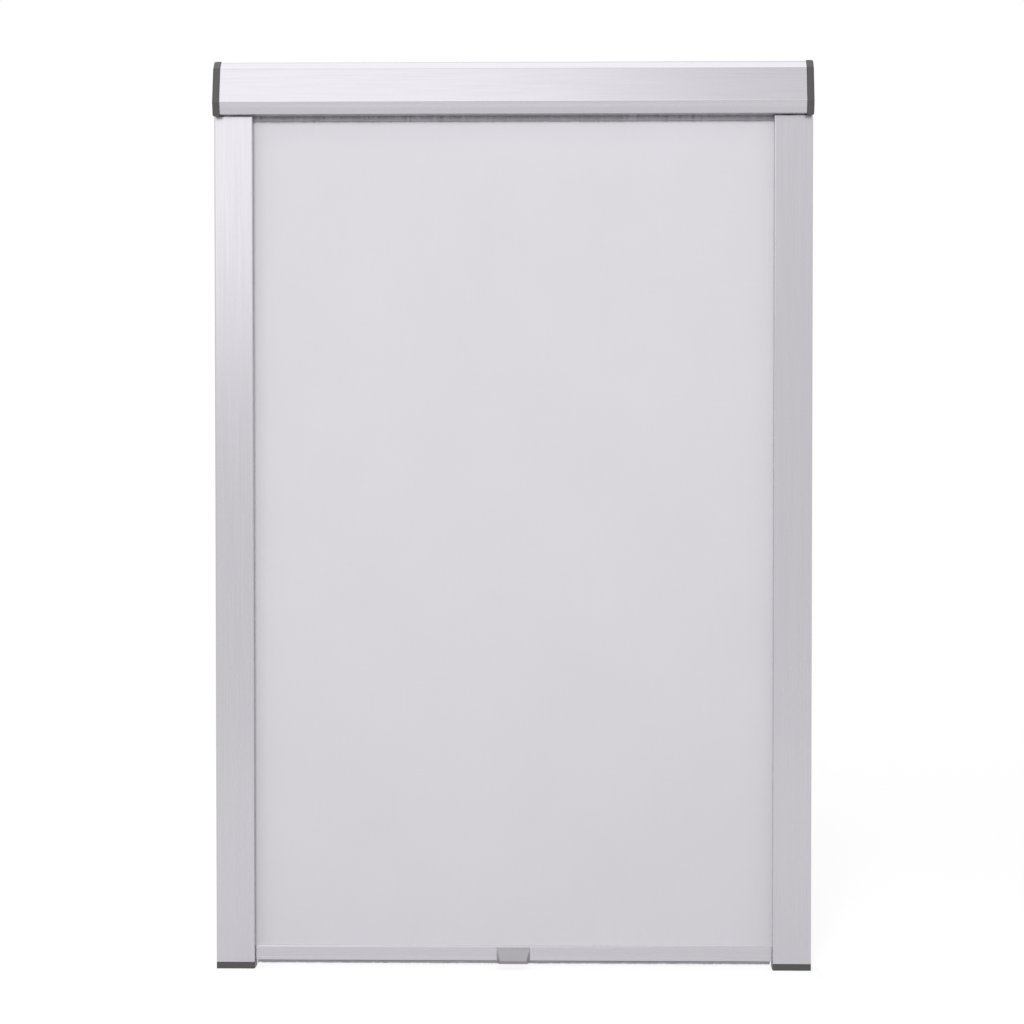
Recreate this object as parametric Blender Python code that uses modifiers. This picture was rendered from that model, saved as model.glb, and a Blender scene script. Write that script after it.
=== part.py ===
"""Skylight roller blind in side rails.

The blind fits inside the sash of a roof window. A closed aluminium cassette holds a sprung roller, two
aluminium rails guide the blackout fabric, and a bottom bar with a finger grip pulls it down. The bar holds
wherever it is left, because a leaf spring in each slide shoe presses on the rail.

Units are metres. +Z is up, the room side faces -Y and the window pane is behind, at +Y. The origin is the
centre of the cassette's back face. Pieces for the two ends are built on the right, at +X, and mirrored.
"""

import math

import bmesh
import bpy
from mathutils import Matrix, Vector

MM = 0.001

# Whole blind
OVERALL_WIDTH = 612 * MM
OVERALL_HEIGHT = 932 * MM
SEAT_GAP = 0.3 * MM  # between faces that rest on each other
RUNNING_GAP = 0.5 * MM  # round a shaft that something turns on

# Cassette: sizes of the closed section, seen from its end
CAP_HEIGHT = 56 * MM
CAP_THICKNESS = 7.2 * MM
CAP_MARGIN = 0.8 * MM  # how far a cap stands proud of the cover
CAP_RIM_RADIUS = 2 * MM
CAP_CHIN = 1.7 * MM  # how far a cap's front foot hangs below its back
COVER_WALL = 1.3 * MM
BACK_WALL = 1.6 * MM
TOP_DEPTH = 25 * MM  # from the back face to the front edge of the flat top
BROW_DEPTH = 34 * MM  # to the foot of the bright upper chamfer
BROW_DROP = 7.7 * MM
FACE_DEPTH = 44 * MM  # to the foot of the main front face
FACE_DROP = 42.7 * MM
LIP_DEPTH = 40 * MM  # to the bottom edge, below the hollow cove under the face
COVE_DEPTH = 1.2 * MM  # hollow of the cove, from a straight line between its edges
NOSE_RADIUS = 0.8 * MM  # edge between the face and the cove
BEND_RADIUS = 2.2 * MM
SLOT_LIP_HEIGHT = 6 * MM  # upturned edge of the cover beside the fabric
SLOT_REAR_REACH = 4 * MM  # foot of the back plate towards the fabric
BACK_TONGUE = 7 * MM  # top edge of the back plate, under the cover

# Screws that hold the caps on, and the channels that they bite into
FLUTE_RADIUS = 3.6 * MM
FLUTE_BORE = 1.8 * MM
FLUTE_INSET = 4.2 * MM  # from the cover's outer faces to the channel's centre
SCREW_HEAD_RADIUS = 2.6 * MM
SCREW_CROWN_RADIUS = 1.95 * MM  # flat top of the head
SCREW_HEAD_HEIGHT = 2 * MM
SCREW_RIM_HEIGHT = 1 * MM  # straight side of the head
SCREW_SHANK_RADIUS = 1.4 * MM
SCREW_LENGTH = 16 * MM  # under the head
SCREW_POINT = 2.8 * MM
SCREW_SUNK = 0.6 * MM  # head below the cap's outer face
SCREW_RECESS_WIDTH = 0.9 * MM
SCREW_RECESS_SPAN = 3.4 * MM
SCREW_RECESS_DEPTH = 1.1 * MM

# Inside of a cassette cap
RIB_THICKNESS = 2 * MM
RIB_LENGTH = 7 * MM
RIB_HEIGHT = 24 * MM
BOSS_RADIUS = 7 * MM
BOSS_LENGTH = 7 * MM
SOCKET_DEPTH = 8.2 * MM  # from the boss's face
SPIGOT_LENGTH = 20 * MM  # down into the rail
SPIGOT_WIDTH = 5.3 * MM
SPIGOT_ROOT = 4 * MM  # up into the cap

# Clip bracket that is screwed to the sash and sits in a pocket of the cap
POCKET_DEPTH = 4 * MM
BRACKET_HEIGHT = 27.2 * MM
BRACKET_REACH = 19.6 * MM  # forwards from the back face
BRACKET_WALL = 1.5 * MM
BRACKET_HOLE_RADIUS = 2.3 * MM
BRACKET_HOLE_SPACING = 8 * MM

# Side rails
RAIL_WIDTH = 39.5 * MM
RAIL_DEPTH = 26 * MM
RAIL_WALL = 1.4 * MM
RAIL_RETURN = 4 * MM  # folded inner edge of the front face
RAIL_EDGE_RADIUS = 1.3 * MM
RAIL_REAR_FLANGE = 26 * MM
GUIDE_SLOT = 10.6 * MM  # front to back, between the rear flange and the fin
GUIDE_FIN = 30 * MM
RAIL_CAP_HEIGHT = 6.6 * MM
RAIL_CAP_RADIUS = 1.6 * MM
RAIL_PLUG_HEIGHT = 12 * MM
RAIL_PLUG_WIDTH = 26 * MM
RAIL_HOLE_RADIUS = 2.2 * MM
RAIL_HOLE_INSET = 90 * MM  # from each end of the rail
RAIL_HOLES = 3

# Fabric and the pile seals that brush it
FABRIC_THICKNESS = 0.35 * MM
FABRIC_BACKSET = 8 * MM  # fabric's middle to the back face
FABRIC_EDGE_GAP = 16.6 * MM  # fabric's edge to the inside of the rail's web
PILE_BASE_WIDTH = 5 * MM
PILE_BASE_THICKNESS = 0.8 * MM
PILE_WIDTH = 2.6 * MM
CURTAIN_DROP = 5.8 * MM  # slot's pile below the cassette
CURTAIN_INSET = 0.4 * MM  # hanging pile behind the front of its backing

# Roller
TUBE_RADIUS = 10 * MM
TUBE_WALL = 1 * MM
TUBE_OVERHANG = 1 * MM  # tube past each edge of the fabric
ROLL_TURNS = 3  # fabric left on the tube with the blind drawn
ROLL_PITCH = 0.75 * MM
FLANGE_THICKNESS = 2 * MM
FLANGE_RADIUS = 11.5 * MM
BUSH_LENGTH = 18 * MM
PLUG_FLOOR = 2 * MM  # closed end of the idle plug
SHAFT_RADIUS = 3 * MM
SHAFT_FLAT = 0.8 * MM  # cut from the shaft where it sits in its socket
SHAFT_OVERHANG = 18.4 * MM  # past the plug that the spring drives
IDLE_PIN_LENGTH = 34 * MM
ANCHOR_CLEARANCE = 0.6 * MM  # between the still spring anchor and the turning tube
ANCHOR_LENGTH = 14 * MM
DRIVE_LENGTH = 18 * MM
SPRING_RADIUS = 6.2 * MM
SPRING_WIRE_RADIUS = 0.6 * MM
SPRING_TURNS = 24
SPRING_LENGTH = 150 * MM
SPRING_LEG = 3 * MM

# Bottom bar: an extrusion with a pocket for the fabric's rod on top and one for the pile seal below
BAR_HEIGHT = 13.9 * MM  # without its raised front rim
BAR_RIM_HEIGHT = 1.6 * MM
BAR_RIM_THICKNESS = 1.6 * MM
BAR_DEPTH = 13 * MM
BAR_BACKSET = 4.5 * MM  # bar's rear face to the back face
BAR_WALL = 1.3 * MM
BAR_ROOF = 1.7 * MM  # wall above the front hollow
BAR_EDGE_RADIUS = 0.8 * MM
BAR_END_GAP = 2 * MM  # bar's end to the rail's fin
BAR_REST_GAP = 1.1 * MM  # bar above the rail caps when the blind is drawn
BAR_TOP_CLEARANCE = 0.5 * MM  # left under the slot's pile when it is raised
ROD_RADIUS = 1.7 * MM
ROD_CLEARANCE = 0.6 * MM
ROD_SLOT = 1.2 * MM
SEAL_POCKET_WIDTH = 4.8 * MM
SEAL_POCKET_HEIGHT = 2.2 * MM
SEAL_MOUTH = 2 * MM
SEAL_INSET = 4 * MM  # seal's middle behind the bar's front face
SEAL_DROP = 4 * MM  # pile below the bar
SEAL_WIDTH = 3 * MM  # pile, front to back

# Slide shoes and their brake springs
SHOE_PLUG_LENGTH = 15 * MM
SHOE_FLANGE = 1.4 * MM
SHOE_END_GAP = 4.6 * MM  # shoe's end to the rail's web, where the brake spring works
SHOE_SLOT_CLEARANCE = 0.4 * MM
BRAKE_WIDTH = 8 * MM
BRAKE_HEIGHT = 12 * MM
BRAKE_STRIP = 0.5 * MM

# Finger grip
GRIP_WIDTH = 34.2 * MM  # against the bar
GRIP_NOSE_WIDTH = 27.6 * MM
GRIP_REACH = 10.5 * MM  # nose in front of the bar
GRIP_BASE = 1.4 * MM
GRIP_TOP_GAP = 1.8 * MM  # grip's top edge below the bar's rim
GRIP_NOSE_HEIGHT = 3.2 * MM
GRIP_NOSE_DROP = 2.6 * MM  # nose below the bar
GRIP_SHELL = 1.8 * MM
GRIP_HOLLOW_WIDTH = 23 * MM
TAB_SPACING = 20 * MM
TAB_WIDTH = 5 * MM
TAB_HEIGHT = 2.4 * MM
TAB_REACH = 3.6 * MM
TAB_BARB = 0.8 * MM
TAB_CLEARANCE = 0.4 * MM

# Smoothness
ARC_STEPS = 3
COVE_STEPS = 6
TURN_STEPS = 24
SMALL_TURN_STEPS = 12  # round screws and rods
ROLL_STEPS = 24  # in each turn of the fabric
SPRING_STEPS = 9
MERGE_DISTANCE = 1e-5
SHARP_ANGLE = math.radians(32)  # edges sharper than this stay crisp

# Places that several pieces share
HALF_WIDTH = OVERALL_WIDTH / 2
CAP_TOP = CAP_HEIGHT / 2
COVER_TOP = CAP_TOP - CAP_MARGIN
CAP_INNER = HALF_WIDTH - CAP_THICKNESS
COVER_END = CAP_INNER - SEAT_GAP
BOSS_FACE = CAP_INNER - BOSS_LENGTH
FABRIC_Y = -FABRIC_BACKSET
FABRIC_FRONT = FABRIC_Y - FABRIC_THICKNESS / 2
WEB_INNER = HALF_WIDTH - RAIL_WALL
FABRIC_EDGE = WEB_INNER - FABRIC_EDGE_GAP
TUBE_END = FABRIC_EDGE + TUBE_OVERHANG
ROLL_INNER = TUBE_RADIUS + SEAT_GAP
ROLL_OUTER = ROLL_INNER + FABRIC_THICKNESS + ROLL_TURNS * ROLL_PITCH
ROLLER_Y = FABRIC_FRONT - SEAT_GAP - ROLL_OUTER
ROLLER_AXIS = Vector((0, ROLLER_Y, 0))

RAIL_TOP = -CAP_TOP - SEAT_GAP
FLOOR_Z = CAP_TOP - OVERALL_HEIGHT
RAIL_CAP_TOP = FLOOR_Z + RAIL_CAP_HEIGHT
RAIL_BOTTOM = RAIL_CAP_TOP + SEAT_GAP
RAIL_INNER_EDGE = HALF_WIDTH - RAIL_WIDTH
FIN_REAR = -RAIL_WALL - GUIDE_SLOT
FIN_FRONT = FIN_REAR - RAIL_WALL
FIN_EDGE = HALF_WIDTH - GUIDE_FIN
REAR_FLANGE_EDGE = HALF_WIDTH - RAIL_REAR_FLANGE
PILE_REACH = FABRIC_FRONT - SEAT_GAP - (FIN_REAR + SEAT_GAP)  # base and pile together
SLOT_FRONT = FABRIC_FRONT - SEAT_GAP - PILE_REACH - SEAT_GAP
CURTAIN_FOOT = -COVER_TOP - CURTAIN_DROP

BAR_BOTTOM = RAIL_CAP_TOP + BAR_REST_GAP
BAR_TOP = BAR_BOTTOM + BAR_HEIGHT
RIM_TOP = BAR_TOP + BAR_RIM_HEIGHT
BAR_REAR = -BAR_BACKSET
BAR_FRONT = BAR_REAR - BAR_DEPTH
BAR_END = FIN_EDGE - BAR_END_GAP
BAR_TRAVEL = CURTAIN_FOOT - BAR_TOP_CLEARANCE - BAR_TOP
ROD_POCKET = ROD_RADIUS + ROD_CLEARANCE  # half its width and height
ROD_Z = BAR_TOP - BAR_WALL - ROD_POCKET
SEAL_Y = BAR_FRONT + SEAL_INSET
SEAL_END = RAIL_INNER_EDGE - BAR_END_GAP
CHAMBER_FRONT = BAR_FRONT + BAR_WALL
CHAMBER_REAR = FABRIC_Y - ROD_POCKET - BAR_WALL
CHAMBER_TOP = BAR_TOP - BAR_ROOF
CHAMBER_BOTTOM = BAR_BOTTOM + 2 * BAR_WALL + SEAL_POCKET_HEIGHT

# The cassette's outer section as (y, z) corners, from the back's foot round the front to the back's top
CASSETTE_CORNERS = [
    Vector((0, -COVER_TOP)),
    Vector((-LIP_DEPTH, -COVER_TOP)),
    Vector((-FACE_DEPTH, COVER_TOP - FACE_DROP)),
    Vector((-BROW_DEPTH, COVER_TOP - BROW_DROP)),
    Vector((-TOP_DEPTH, COVER_TOP)),
    Vector((0, COVER_TOP)),
]

# Sections drawn in the YZ plane and run along X
ALONG_X = Matrix(((0, 0, 1, 0), (1, 0, 0, 0), (0, 1, 0, 0), (0, 0, 0, 1)))
# Sections drawn in the XZ plane and run along Y
ALONG_Y = Matrix(((1, 0, 0, 0), (0, 0, -1, 0), (0, 1, 0, 0), (0, 0, 0, 1)))
# Sections drawn in the XY plane and run along Z
ALONG_Z = Matrix.Identity(4)


def clear_scene():
    for leftover in list(bpy.data.objects):
        bpy.data.objects.remove(leftover, do_unlink=True)


def new_collection(name, shown=True):
    collection = bpy.data.collections.new(name)
    bpy.context.scene.collection.children.link(collection)
    collection.hide_render = not shown
    return collection


def linear(channel):
    return channel / 12.92 if channel <= 0.04045 else ((channel + 0.055) / 1.055) ** 2.4


def new_material(name, colour, roughness, metallic=0.0):
    """A plain surface from an sRGB hex colour."""
    material = bpy.data.materials.new(name)
    material.use_nodes = True
    surface = material.node_tree.nodes["Principled BSDF"]
    channels = [linear(int(colour[i : i + 2], 16) / 255) for i in (0, 2, 4)]
    surface.inputs["Base Color"].default_value = (*channels, 1)
    surface.inputs["Roughness"].default_value = roughness
    surface.inputs["Metallic"].default_value = metallic
    material.diffuse_color = (*channels, 1)
    return material


clear_scene()
BLIND = new_collection("skylight_roller_blind")
CUTTERS = new_collection("cutters", shown=False)
ALUMINIUM = new_material("satin_aluminium", "c9c7cc", 0.38, 1.0)
DARK_PLASTIC = new_material("dark_grey_plastic", "5f5d5e", 0.5)
GRIP_PLASTIC = new_material("mid_grey_plastic", "aeaab0", 0.45)
SHOE_PLASTIC = new_material("white_acetal", "e8e6e2", 0.4)
FABRIC = new_material("blackout_fabric", "dddbe0", 0.85)
PILE = new_material("grey_pile", "8f8a88", 0.95)
STEEL = new_material("zinc_plated_steel", "b4b6b8", 0.35, 1.0)
SPRING_STEEL = new_material("spring_steel", "6f7174", 0.4, 1.0)


def add_object(name, data, material):
    made = bpy.data.objects.new(name, data)
    made.data.materials.append(material)
    BLIND.objects.link(made)
    return made


def finish_mesh(mesh):
    """Welds a mesh's doubled points, turns its faces outwards and shades its round faces smooth."""
    work = bmesh.new()
    work.from_mesh(mesh)
    bmesh.ops.remove_doubles(work, verts=work.verts, dist=MERGE_DISTANCE)
    bmesh.ops.recalc_face_normals(work, faces=work.faces)
    work.to_mesh(mesh)
    work.free()
    mesh.shade_smooth()
    mesh.set_sharp_from_angle(angle=SHARP_ANGLE)


def baked(source, name):
    """The evaluated mesh of an object, with its modifiers applied, under a new name."""
    bpy.context.view_layer.update()
    graph = bpy.context.evaluated_depsgraph_get()
    mesh = bpy.data.meshes.new_from_object(source.evaluated_get(graph))
    mesh.name = name
    mesh.transform(source.matrix_world)
    return mesh


def rounded(corners):
    """A line through (u, v, radius) corners. A corner with a radius becomes an arc."""
    outline = []
    for index, (u, v, radius) in enumerate(corners):
        corner = Vector((u, v))
        if radius == 0:
            outline.append(corner)
            continue
        back = (Vector(corners[index - 1][:2]) - corner).normalized()
        ahead = (Vector(corners[(index + 1) % len(corners)][:2]) - corner).normalized()
        half = back.angle(ahead) / 2
        centre = corner + (back + ahead).normalized() * (radius / math.sin(half))
        start = corner + back * (radius / math.tan(half)) - centre
        end = corner + ahead * (radius / math.tan(half)) - centre
        first = math.atan2(start.y, start.x)
        sweep = (math.atan2(end.y, end.x) - first + math.pi) % (2 * math.pi) - math.pi
        for step in range(ARC_STEPS + 1):
            angle = first + sweep * step / ARC_STEPS
            outline.append(centre + radius * Vector((math.cos(angle), math.sin(angle))))
    return outline


def rectangle(u_low, u_high, v_low, v_high, radius=0):
    return rounded(
        [(u_low, v_low, radius), (u_high, v_low, radius), (u_high, v_high, radius), (u_low, v_high, radius)]
    )


def circle(radius, u, v, steps):
    turns = [2 * math.pi * step / steps for step in range(steps)]
    return [Vector((u + radius * math.cos(turn), v + radius * math.sin(turn))) for turn in turns]


def moved_out(corners, distance, facet_extra=0):
    """Corners of the cassette's section with every side moved outwards; a negative distance goes inwards.

    The facet that the cove hollows out, which is the second side, moves by a little more.
    """
    moved = []
    reach = [distance] * len(corners)
    reach[1] += facet_extra
    for index, corner in enumerate(corners):
        back = (corner - corners[index - 1]).normalized()
        ahead = (corners[(index + 1) % len(corners)] - corner).normalized()
        back_normal = Vector((-back.y, back.x))
        ahead_normal = Vector((-ahead.y, ahead.x))
        shared = back_normal.dot(ahead_normal)
        back_share = (reach[index - 1] - reach[index] * shared) / (1 - shared**2)
        ahead_share = (reach[index] - reach[index - 1] * shared) / (1 - shared**2)
        moved.append(corner + back_share * back_normal + ahead_share * ahead_normal)
    return moved


def extruded(name, outlines, low, high, plane, material):
    """A flat outline with its holes, drawn as a 2D curve and run from low to high square to its plane."""
    curve = bpy.data.curves.new(name, "CURVE")
    curve.dimensions = "2D"
    curve.fill_mode = "BOTH"
    curve.extrude = (high - low) / 2
    for outline in outlines:
        spline = curve.splines.new("POLY")
        spline.points.add(len(outline) - 1)
        for point, place in zip(spline.points, outline):
            point.co = (place.x, place.y, 0, 1)
        spline.use_cyclic_u = True
    drawn = bpy.data.objects.new(name, curve)
    BLIND.objects.link(drawn)
    mesh = baked(drawn, name)
    bpy.data.objects.remove(drawn)
    mesh.transform(plane @ Matrix.Translation((0, 0, (low + high) / 2)))
    finish_mesh(mesh)
    return add_object(name, mesh, material)


def box(name, low, high, material):
    """A box between two opposite corners."""
    work = bmesh.new()
    bmesh.ops.create_cube(work, size=1)
    size = Vector(high) - Vector(low)
    place = Matrix.Translation((Vector(high) + Vector(low)) / 2) @ Matrix.Diagonal((*size, 1))
    bmesh.ops.transform(work, matrix=place, verts=work.verts)
    mesh = bpy.data.meshes.new(name)
    work.to_mesh(mesh)
    work.free()
    return add_object(name, mesh, material)


def cylinder(name, radius, near, far, y, z, material):
    """A plain round bar along X."""
    work = bmesh.new()
    bmesh.ops.create_cone(
        work, cap_ends=True, segments=TURN_STEPS, radius1=radius, radius2=radius, depth=far - near
    )
    place = Matrix.Translation(((near + far) / 2, y, z)) @ Matrix.Rotation(math.radians(90), 4, "Y")
    bmesh.ops.transform(work, matrix=place, verts=work.verts)
    mesh = bpy.data.meshes.new(name)
    work.to_mesh(mesh)
    work.free()
    finish_mesh(mesh)
    return add_object(name, mesh, material)


def turned(name, profile, start, material, hollow=False, steps=TURN_STEPS):
    """A profile of (radius, distance) points, turned about the X direction from start on.

    The points run from the far end to the near end down the outer side. A hollow profile is a closed loop.
    """
    mesh = bpy.data.meshes.new(name)
    edges = [(index, index + 1) for index in range(len(profile) - 1)]
    if hollow:
        edges.append((len(profile) - 1, 0))
    mesh.from_pydata([(radius, 0, distance) for radius, distance in profile], edges, [])
    blank = add_object(name + "_profile", mesh, material)
    screw = blank.modifiers.new("Screw", "SCREW")
    screw.steps = steps
    screw.render_steps = steps
    screw.use_merge_vertices = True
    screw.merge_threshold = MERGE_DISTANCE
    shape = baked(blank, name)
    bpy.data.objects.remove(blank)
    shape.transform(Matrix.Translation(start) @ Matrix.Rotation(math.radians(90), 4, "Y"))
    finish_mesh(shape)
    shape.materials.clear()
    return add_object(name, shape, material)


def ring_profile(outer, inner, length):
    return [(outer, length), (outer, 0), (inner, 0), (inner, length)]


def combine(target, operation, helpers):
    """Joins helpers to a piece, or cuts them from it, with live Booleans."""
    for helper in helpers:
        boolean = target.modifiers.new(helper.name, "BOOLEAN")
        boolean.operation = operation
        boolean.solver = "EXACT"
        boolean.object = helper
        BLIND.objects.unlink(helper)
        CUTTERS.objects.link(helper)
        helper.hide_render = True
        helper.display_type = "WIRE"


def join(target, *helpers):
    combine(target, "UNION", helpers)


def cut(target, *helpers):
    combine(target, "DIFFERENCE", helpers)


def mirrored_pair(source, name):
    """Names the built piece for the right, and adds its mirror image for the left."""
    mesh = baked(source, name + "_left")
    mesh.transform(Matrix.Scale(-1, 4, Vector((1, 0, 0))))
    mesh.flip_normals()
    source.name = name + "_right"
    left = bpy.data.objects.new(name + "_left", mesh)
    BLIND.objects.link(left)
    return left, source


def hang_on(place, name, pieces):
    """An empty on a joint's axis that carries the pieces that move with it."""
    empty = bpy.data.objects.new(name, None)
    empty.location = place
    BLIND.objects.link(empty)
    shared = {piece.data for piece in pieces}
    for data in shared:
        data.transform(Matrix.Translation(-Vector(place)))
    for piece in pieces:
        piece.parent = empty
        for modifier in piece.modifiers:
            if modifier.type == "BOOLEAN":
                modifier.object.data.transform(Matrix.Translation(-Vector(place)))
                modifier.object.parent = empty


def flute(name, y, z):
    """A round screw channel along the cassette, its ends just inside the wall that carries it."""
    end = COVER_END - SEAT_GAP
    profile = ring_profile(FLUTE_RADIUS, FLUTE_BORE, 2 * end)
    return turned(name, profile, (-end, y, z), ALUMINIUM, hollow=True)


def screw_places():
    """(y, z) of the screws in a cap: two in the cover's corners and one in the back plate."""
    _, lip, _, _, top, _ = moved_out(CASSETTE_CORNERS, -FLUTE_INSET, -COVE_DEPTH)
    back_y = -(FLUTE_INSET - COVER_WALL + BACK_WALL)
    back_z = COVER_TOP - COVER_WALL - SEAT_GAP - FLUTE_INSET
    return [top, lip, Vector((back_y, back_z))]


def cove():
    """Points of the hollow arc from the foot of the front face to the cover's bottom edge."""
    _, lip, face_foot, _, _, _ = CASSETTE_CORNERS
    chord = lip - face_foot
    radius = (chord.length_squared / 4 + COVE_DEPTH**2) / (2 * COVE_DEPTH)
    outwards = Vector((chord.y, -chord.x)).normalized()
    centre = (face_foot + lip) / 2 + outwards * (radius - COVE_DEPTH)
    spread = math.asin(chord.length / 2 / radius)
    points = []
    for step in range(1, COVE_STEPS):
        angle = spread * (2 * step / COVE_STEPS - 1)
        arm = -outwards * math.cos(angle) + chord.normalized() * math.sin(angle)
        points.append(centre + arm * radius)
    return points


def build_cover():
    """Front, top and floor of the cassette: one wall with a cove below the face and two screw channels."""
    rear = -BACK_WALL - SEAT_GAP
    _, lip, face_foot, face_head, top, _ = CASSETTE_CORNERS
    outer_line = [
        (rear, COVER_TOP, 0),
        (*top, BEND_RADIUS),
        (*face_head, BEND_RADIUS),
        (*face_foot, NOSE_RADIUS),
        *[(*point, 0) for point in cove()],
        (*lip, BEND_RADIUS / 2),
        (SLOT_FRONT, -COVER_TOP, BEND_RADIUS / 2),
        (SLOT_FRONT, -COVER_TOP + SLOT_LIP_HEIGHT, 0),
    ]
    bend = BEND_RADIUS - COVER_WALL
    _, lip, face_foot, face_head, top, _ = moved_out(CASSETTE_CORNERS, -COVER_WALL, -COVE_DEPTH)
    inner_line = [
        (SLOT_FRONT - COVER_WALL, -COVER_TOP + SLOT_LIP_HEIGHT, 0),
        (SLOT_FRONT - COVER_WALL, -COVER_TOP + COVER_WALL, 0),
        (*lip, bend),
        (*face_foot, bend),
        (*face_head, bend),
        (*top, bend),
        (rear, COVER_TOP - COVER_WALL, 0),
    ]
    outline = rounded(outer_line + inner_line)
    cover = extruded("cassette_cover", [outline], -COVER_END, COVER_END, ALONG_X, ALUMINIUM)
    upper, lower, _ = screw_places()
    join(cover, flute("upper_flute", *upper), flute("lower_flute", *lower))
    return cover


def build_back_plate():
    """Back of the cassette, with a tongue under the cover's top edge and a foot beside the fabric."""
    tongue_top = COVER_TOP - COVER_WALL - SEAT_GAP
    corners = [
        (0, -COVER_TOP, 0),
        (0, COVER_TOP, 0),
        (-BACK_WALL, COVER_TOP, 0),
        (-BACK_WALL, tongue_top, 0),
        (-BACK_TONGUE, tongue_top, 0),
        (-BACK_TONGUE, tongue_top - COVER_WALL, 0),
        (-BACK_WALL, tongue_top - COVER_WALL, 0),
        (-BACK_WALL, -COVER_TOP + COVER_WALL, 0),
        (-SLOT_REAR_REACH, -COVER_TOP + COVER_WALL, 0),
        (-SLOT_REAR_REACH, -COVER_TOP, 0),
    ]
    plate = extruded("cassette_back_plate", [rounded(corners)], -COVER_END, COVER_END, ALONG_X, ALUMINIUM)
    join(plate, flute("back_flute", *screw_places()[2]))
    return plate


def d_outline(radius, level, y, z):
    """A circle cut off by a straight line at some level above its centre."""
    first = math.asin(level / radius)
    sweep = math.pi + 2 * first
    turns = [first - sweep * step / TURN_STEPS for step in range(TURN_STEPS + 1)]
    return [Vector((y + radius * math.cos(turn), z + radius * math.sin(turn))) for turn in turns]


def bevel_outer_rim(piece):
    """Rounds the cap's outer rim, apart from the back edge, which lies against the sash."""
    work = bmesh.new()
    work.from_mesh(piece.data)
    bmesh.ops.dissolve_limit(work, angle_limit=math.radians(1), verts=work.verts, edges=work.edges)
    outer = max(vert.co.x for vert in work.verts) - MERGE_DISTANCE
    rim = [
        edge
        for edge in work.edges
        if all(vert.co.x > outer for vert in edge.verts)
        and not all(vert.co.y > -MERGE_DISTANCE for vert in edge.verts)
    ]
    bmesh.ops.bevel(
        work, geom=rim, offset=CAP_RIM_RADIUS, segments=ARC_STEPS, profile=0.5, affect="EDGES"
    )
    bmesh.ops.triangulate(work, faces=work.faces)
    work.to_mesh(piece.data)
    work.free()
    finish_mesh(piece.data)


def cap_rib(name, start, end):
    """A locating rib on the cap, laid along the line from start to end just inside a wall."""
    along = (end - start).normalized()
    inwards = Vector((along.y, -along.x))
    middle = (start + end) / 2
    low, high = middle - along * RIB_HEIGHT / 2, middle + along * RIB_HEIGHT / 2
    outline = [low, high, high + inwards * RIB_THICKNESS, low + inwards * RIB_THICKNESS]
    return extruded(name, [outline], CAP_INNER - RIB_LENGTH, CAP_INNER + RIB_THICKNESS, ALONG_X, DARK_PLASTIC)


def build_cassette_cap():
    """End of the cassette: it carries the roller's pin, takes the screws and plugs into the rail."""
    _, lip, face_foot, *upper = moved_out(CASSETTE_CORNERS, CAP_MARGIN)
    chin = lip + (lip - face_foot) * (CAP_CHIN / (face_foot.y - lip.y))
    lower = [Vector((0, -CAP_TOP)), Vector((-RAIL_DEPTH - SEAT_GAP * 2, -CAP_TOP)), chin, face_foot]
    outline = rounded([(min(corner.x, 0), corner.y, BEND_RADIUS) for corner in lower + upper])
    cap = extruded("cassette_cap", [outline], CAP_INNER, HALF_WIDTH, ALONG_X, DARK_PLASTIC)
    bevel_outer_rim(cap)

    _, _, face_foot, face_head, _, _ = moved_out(CASSETTE_CORNERS, -(COVER_WALL + SEAT_GAP))
    back_line = -(BACK_WALL + SEAT_GAP)
    front_rib = cap_rib("front_rib", face_foot, face_head)
    rear_rib = cap_rib("rear_rib", Vector((back_line, 0)), Vector((back_line, -RIB_HEIGHT / 2)))
    boss = cylinder(
        "boss", BOSS_RADIUS, BOSS_FACE, CAP_INNER + RIB_THICKNESS, *ROLLER_AXIS.yz, DARK_PLASTIC
    )
    spigot = box(
        "spigot",
        (WEB_INNER - SEAT_GAP - SPIGOT_WIDTH, -RAIL_DEPTH + RAIL_WALL + SEAT_GAP, -CAP_TOP - SPIGOT_LENGTH),
        (WEB_INNER - SEAT_GAP, FIN_FRONT - SEAT_GAP, -CAP_TOP + SPIGOT_ROOT),
        DARK_PLASTIC,
    )
    join(cap, front_rib, rear_rib, boss, spigot)

    flat_level = SHAFT_RADIUS - SHAFT_FLAT + SEAT_GAP
    socket = d_outline(SHAFT_RADIUS + SEAT_GAP, flat_level, ROLLER_AXIS.y, ROLLER_AXIS.z)
    socket_cut = extruded(
        "socket", [socket], BOSS_FACE - RIB_LENGTH, BOSS_FACE + SOCKET_DEPTH, ALONG_X, DARK_PLASTIC
    )
    half_pocket = BRACKET_HEIGHT / 2 + SEAT_GAP
    pocket = box(
        "bracket_pocket",
        (HALF_WIDTH - POCKET_DEPTH, -BRACKET_REACH - SEAT_GAP, -half_pocket),
        (HALF_WIDTH + POCKET_DEPTH, POCKET_DEPTH, half_pocket),
        DARK_PLASTIC,
    )
    cut(cap, socket_cut, pocket)
    seat = CAP_THICKNESS - SCREW_SUNK - SCREW_HEAD_HEIGHT - SEAT_GAP
    head = SCREW_HEAD_RADIUS + SEAT_GAP
    for number, (y, z) in enumerate(screw_places()):
        drill = turned(
            f"screw_hole_{number}",
            [(0, CAP_THICKNESS * 2), (head, CAP_THICKNESS * 2), (head, seat), (FLUTE_BORE, seat)]
            + [(FLUTE_BORE, -CAP_THICKNESS), (0, -CAP_THICKNESS)],
            (CAP_INNER, y, z),
            DARK_PLASTIC,
            steps=SMALL_TURN_STEPS,
        )
        cut(cap, drill)
    return mirrored_pair(cap, "cassette_cap")


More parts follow.
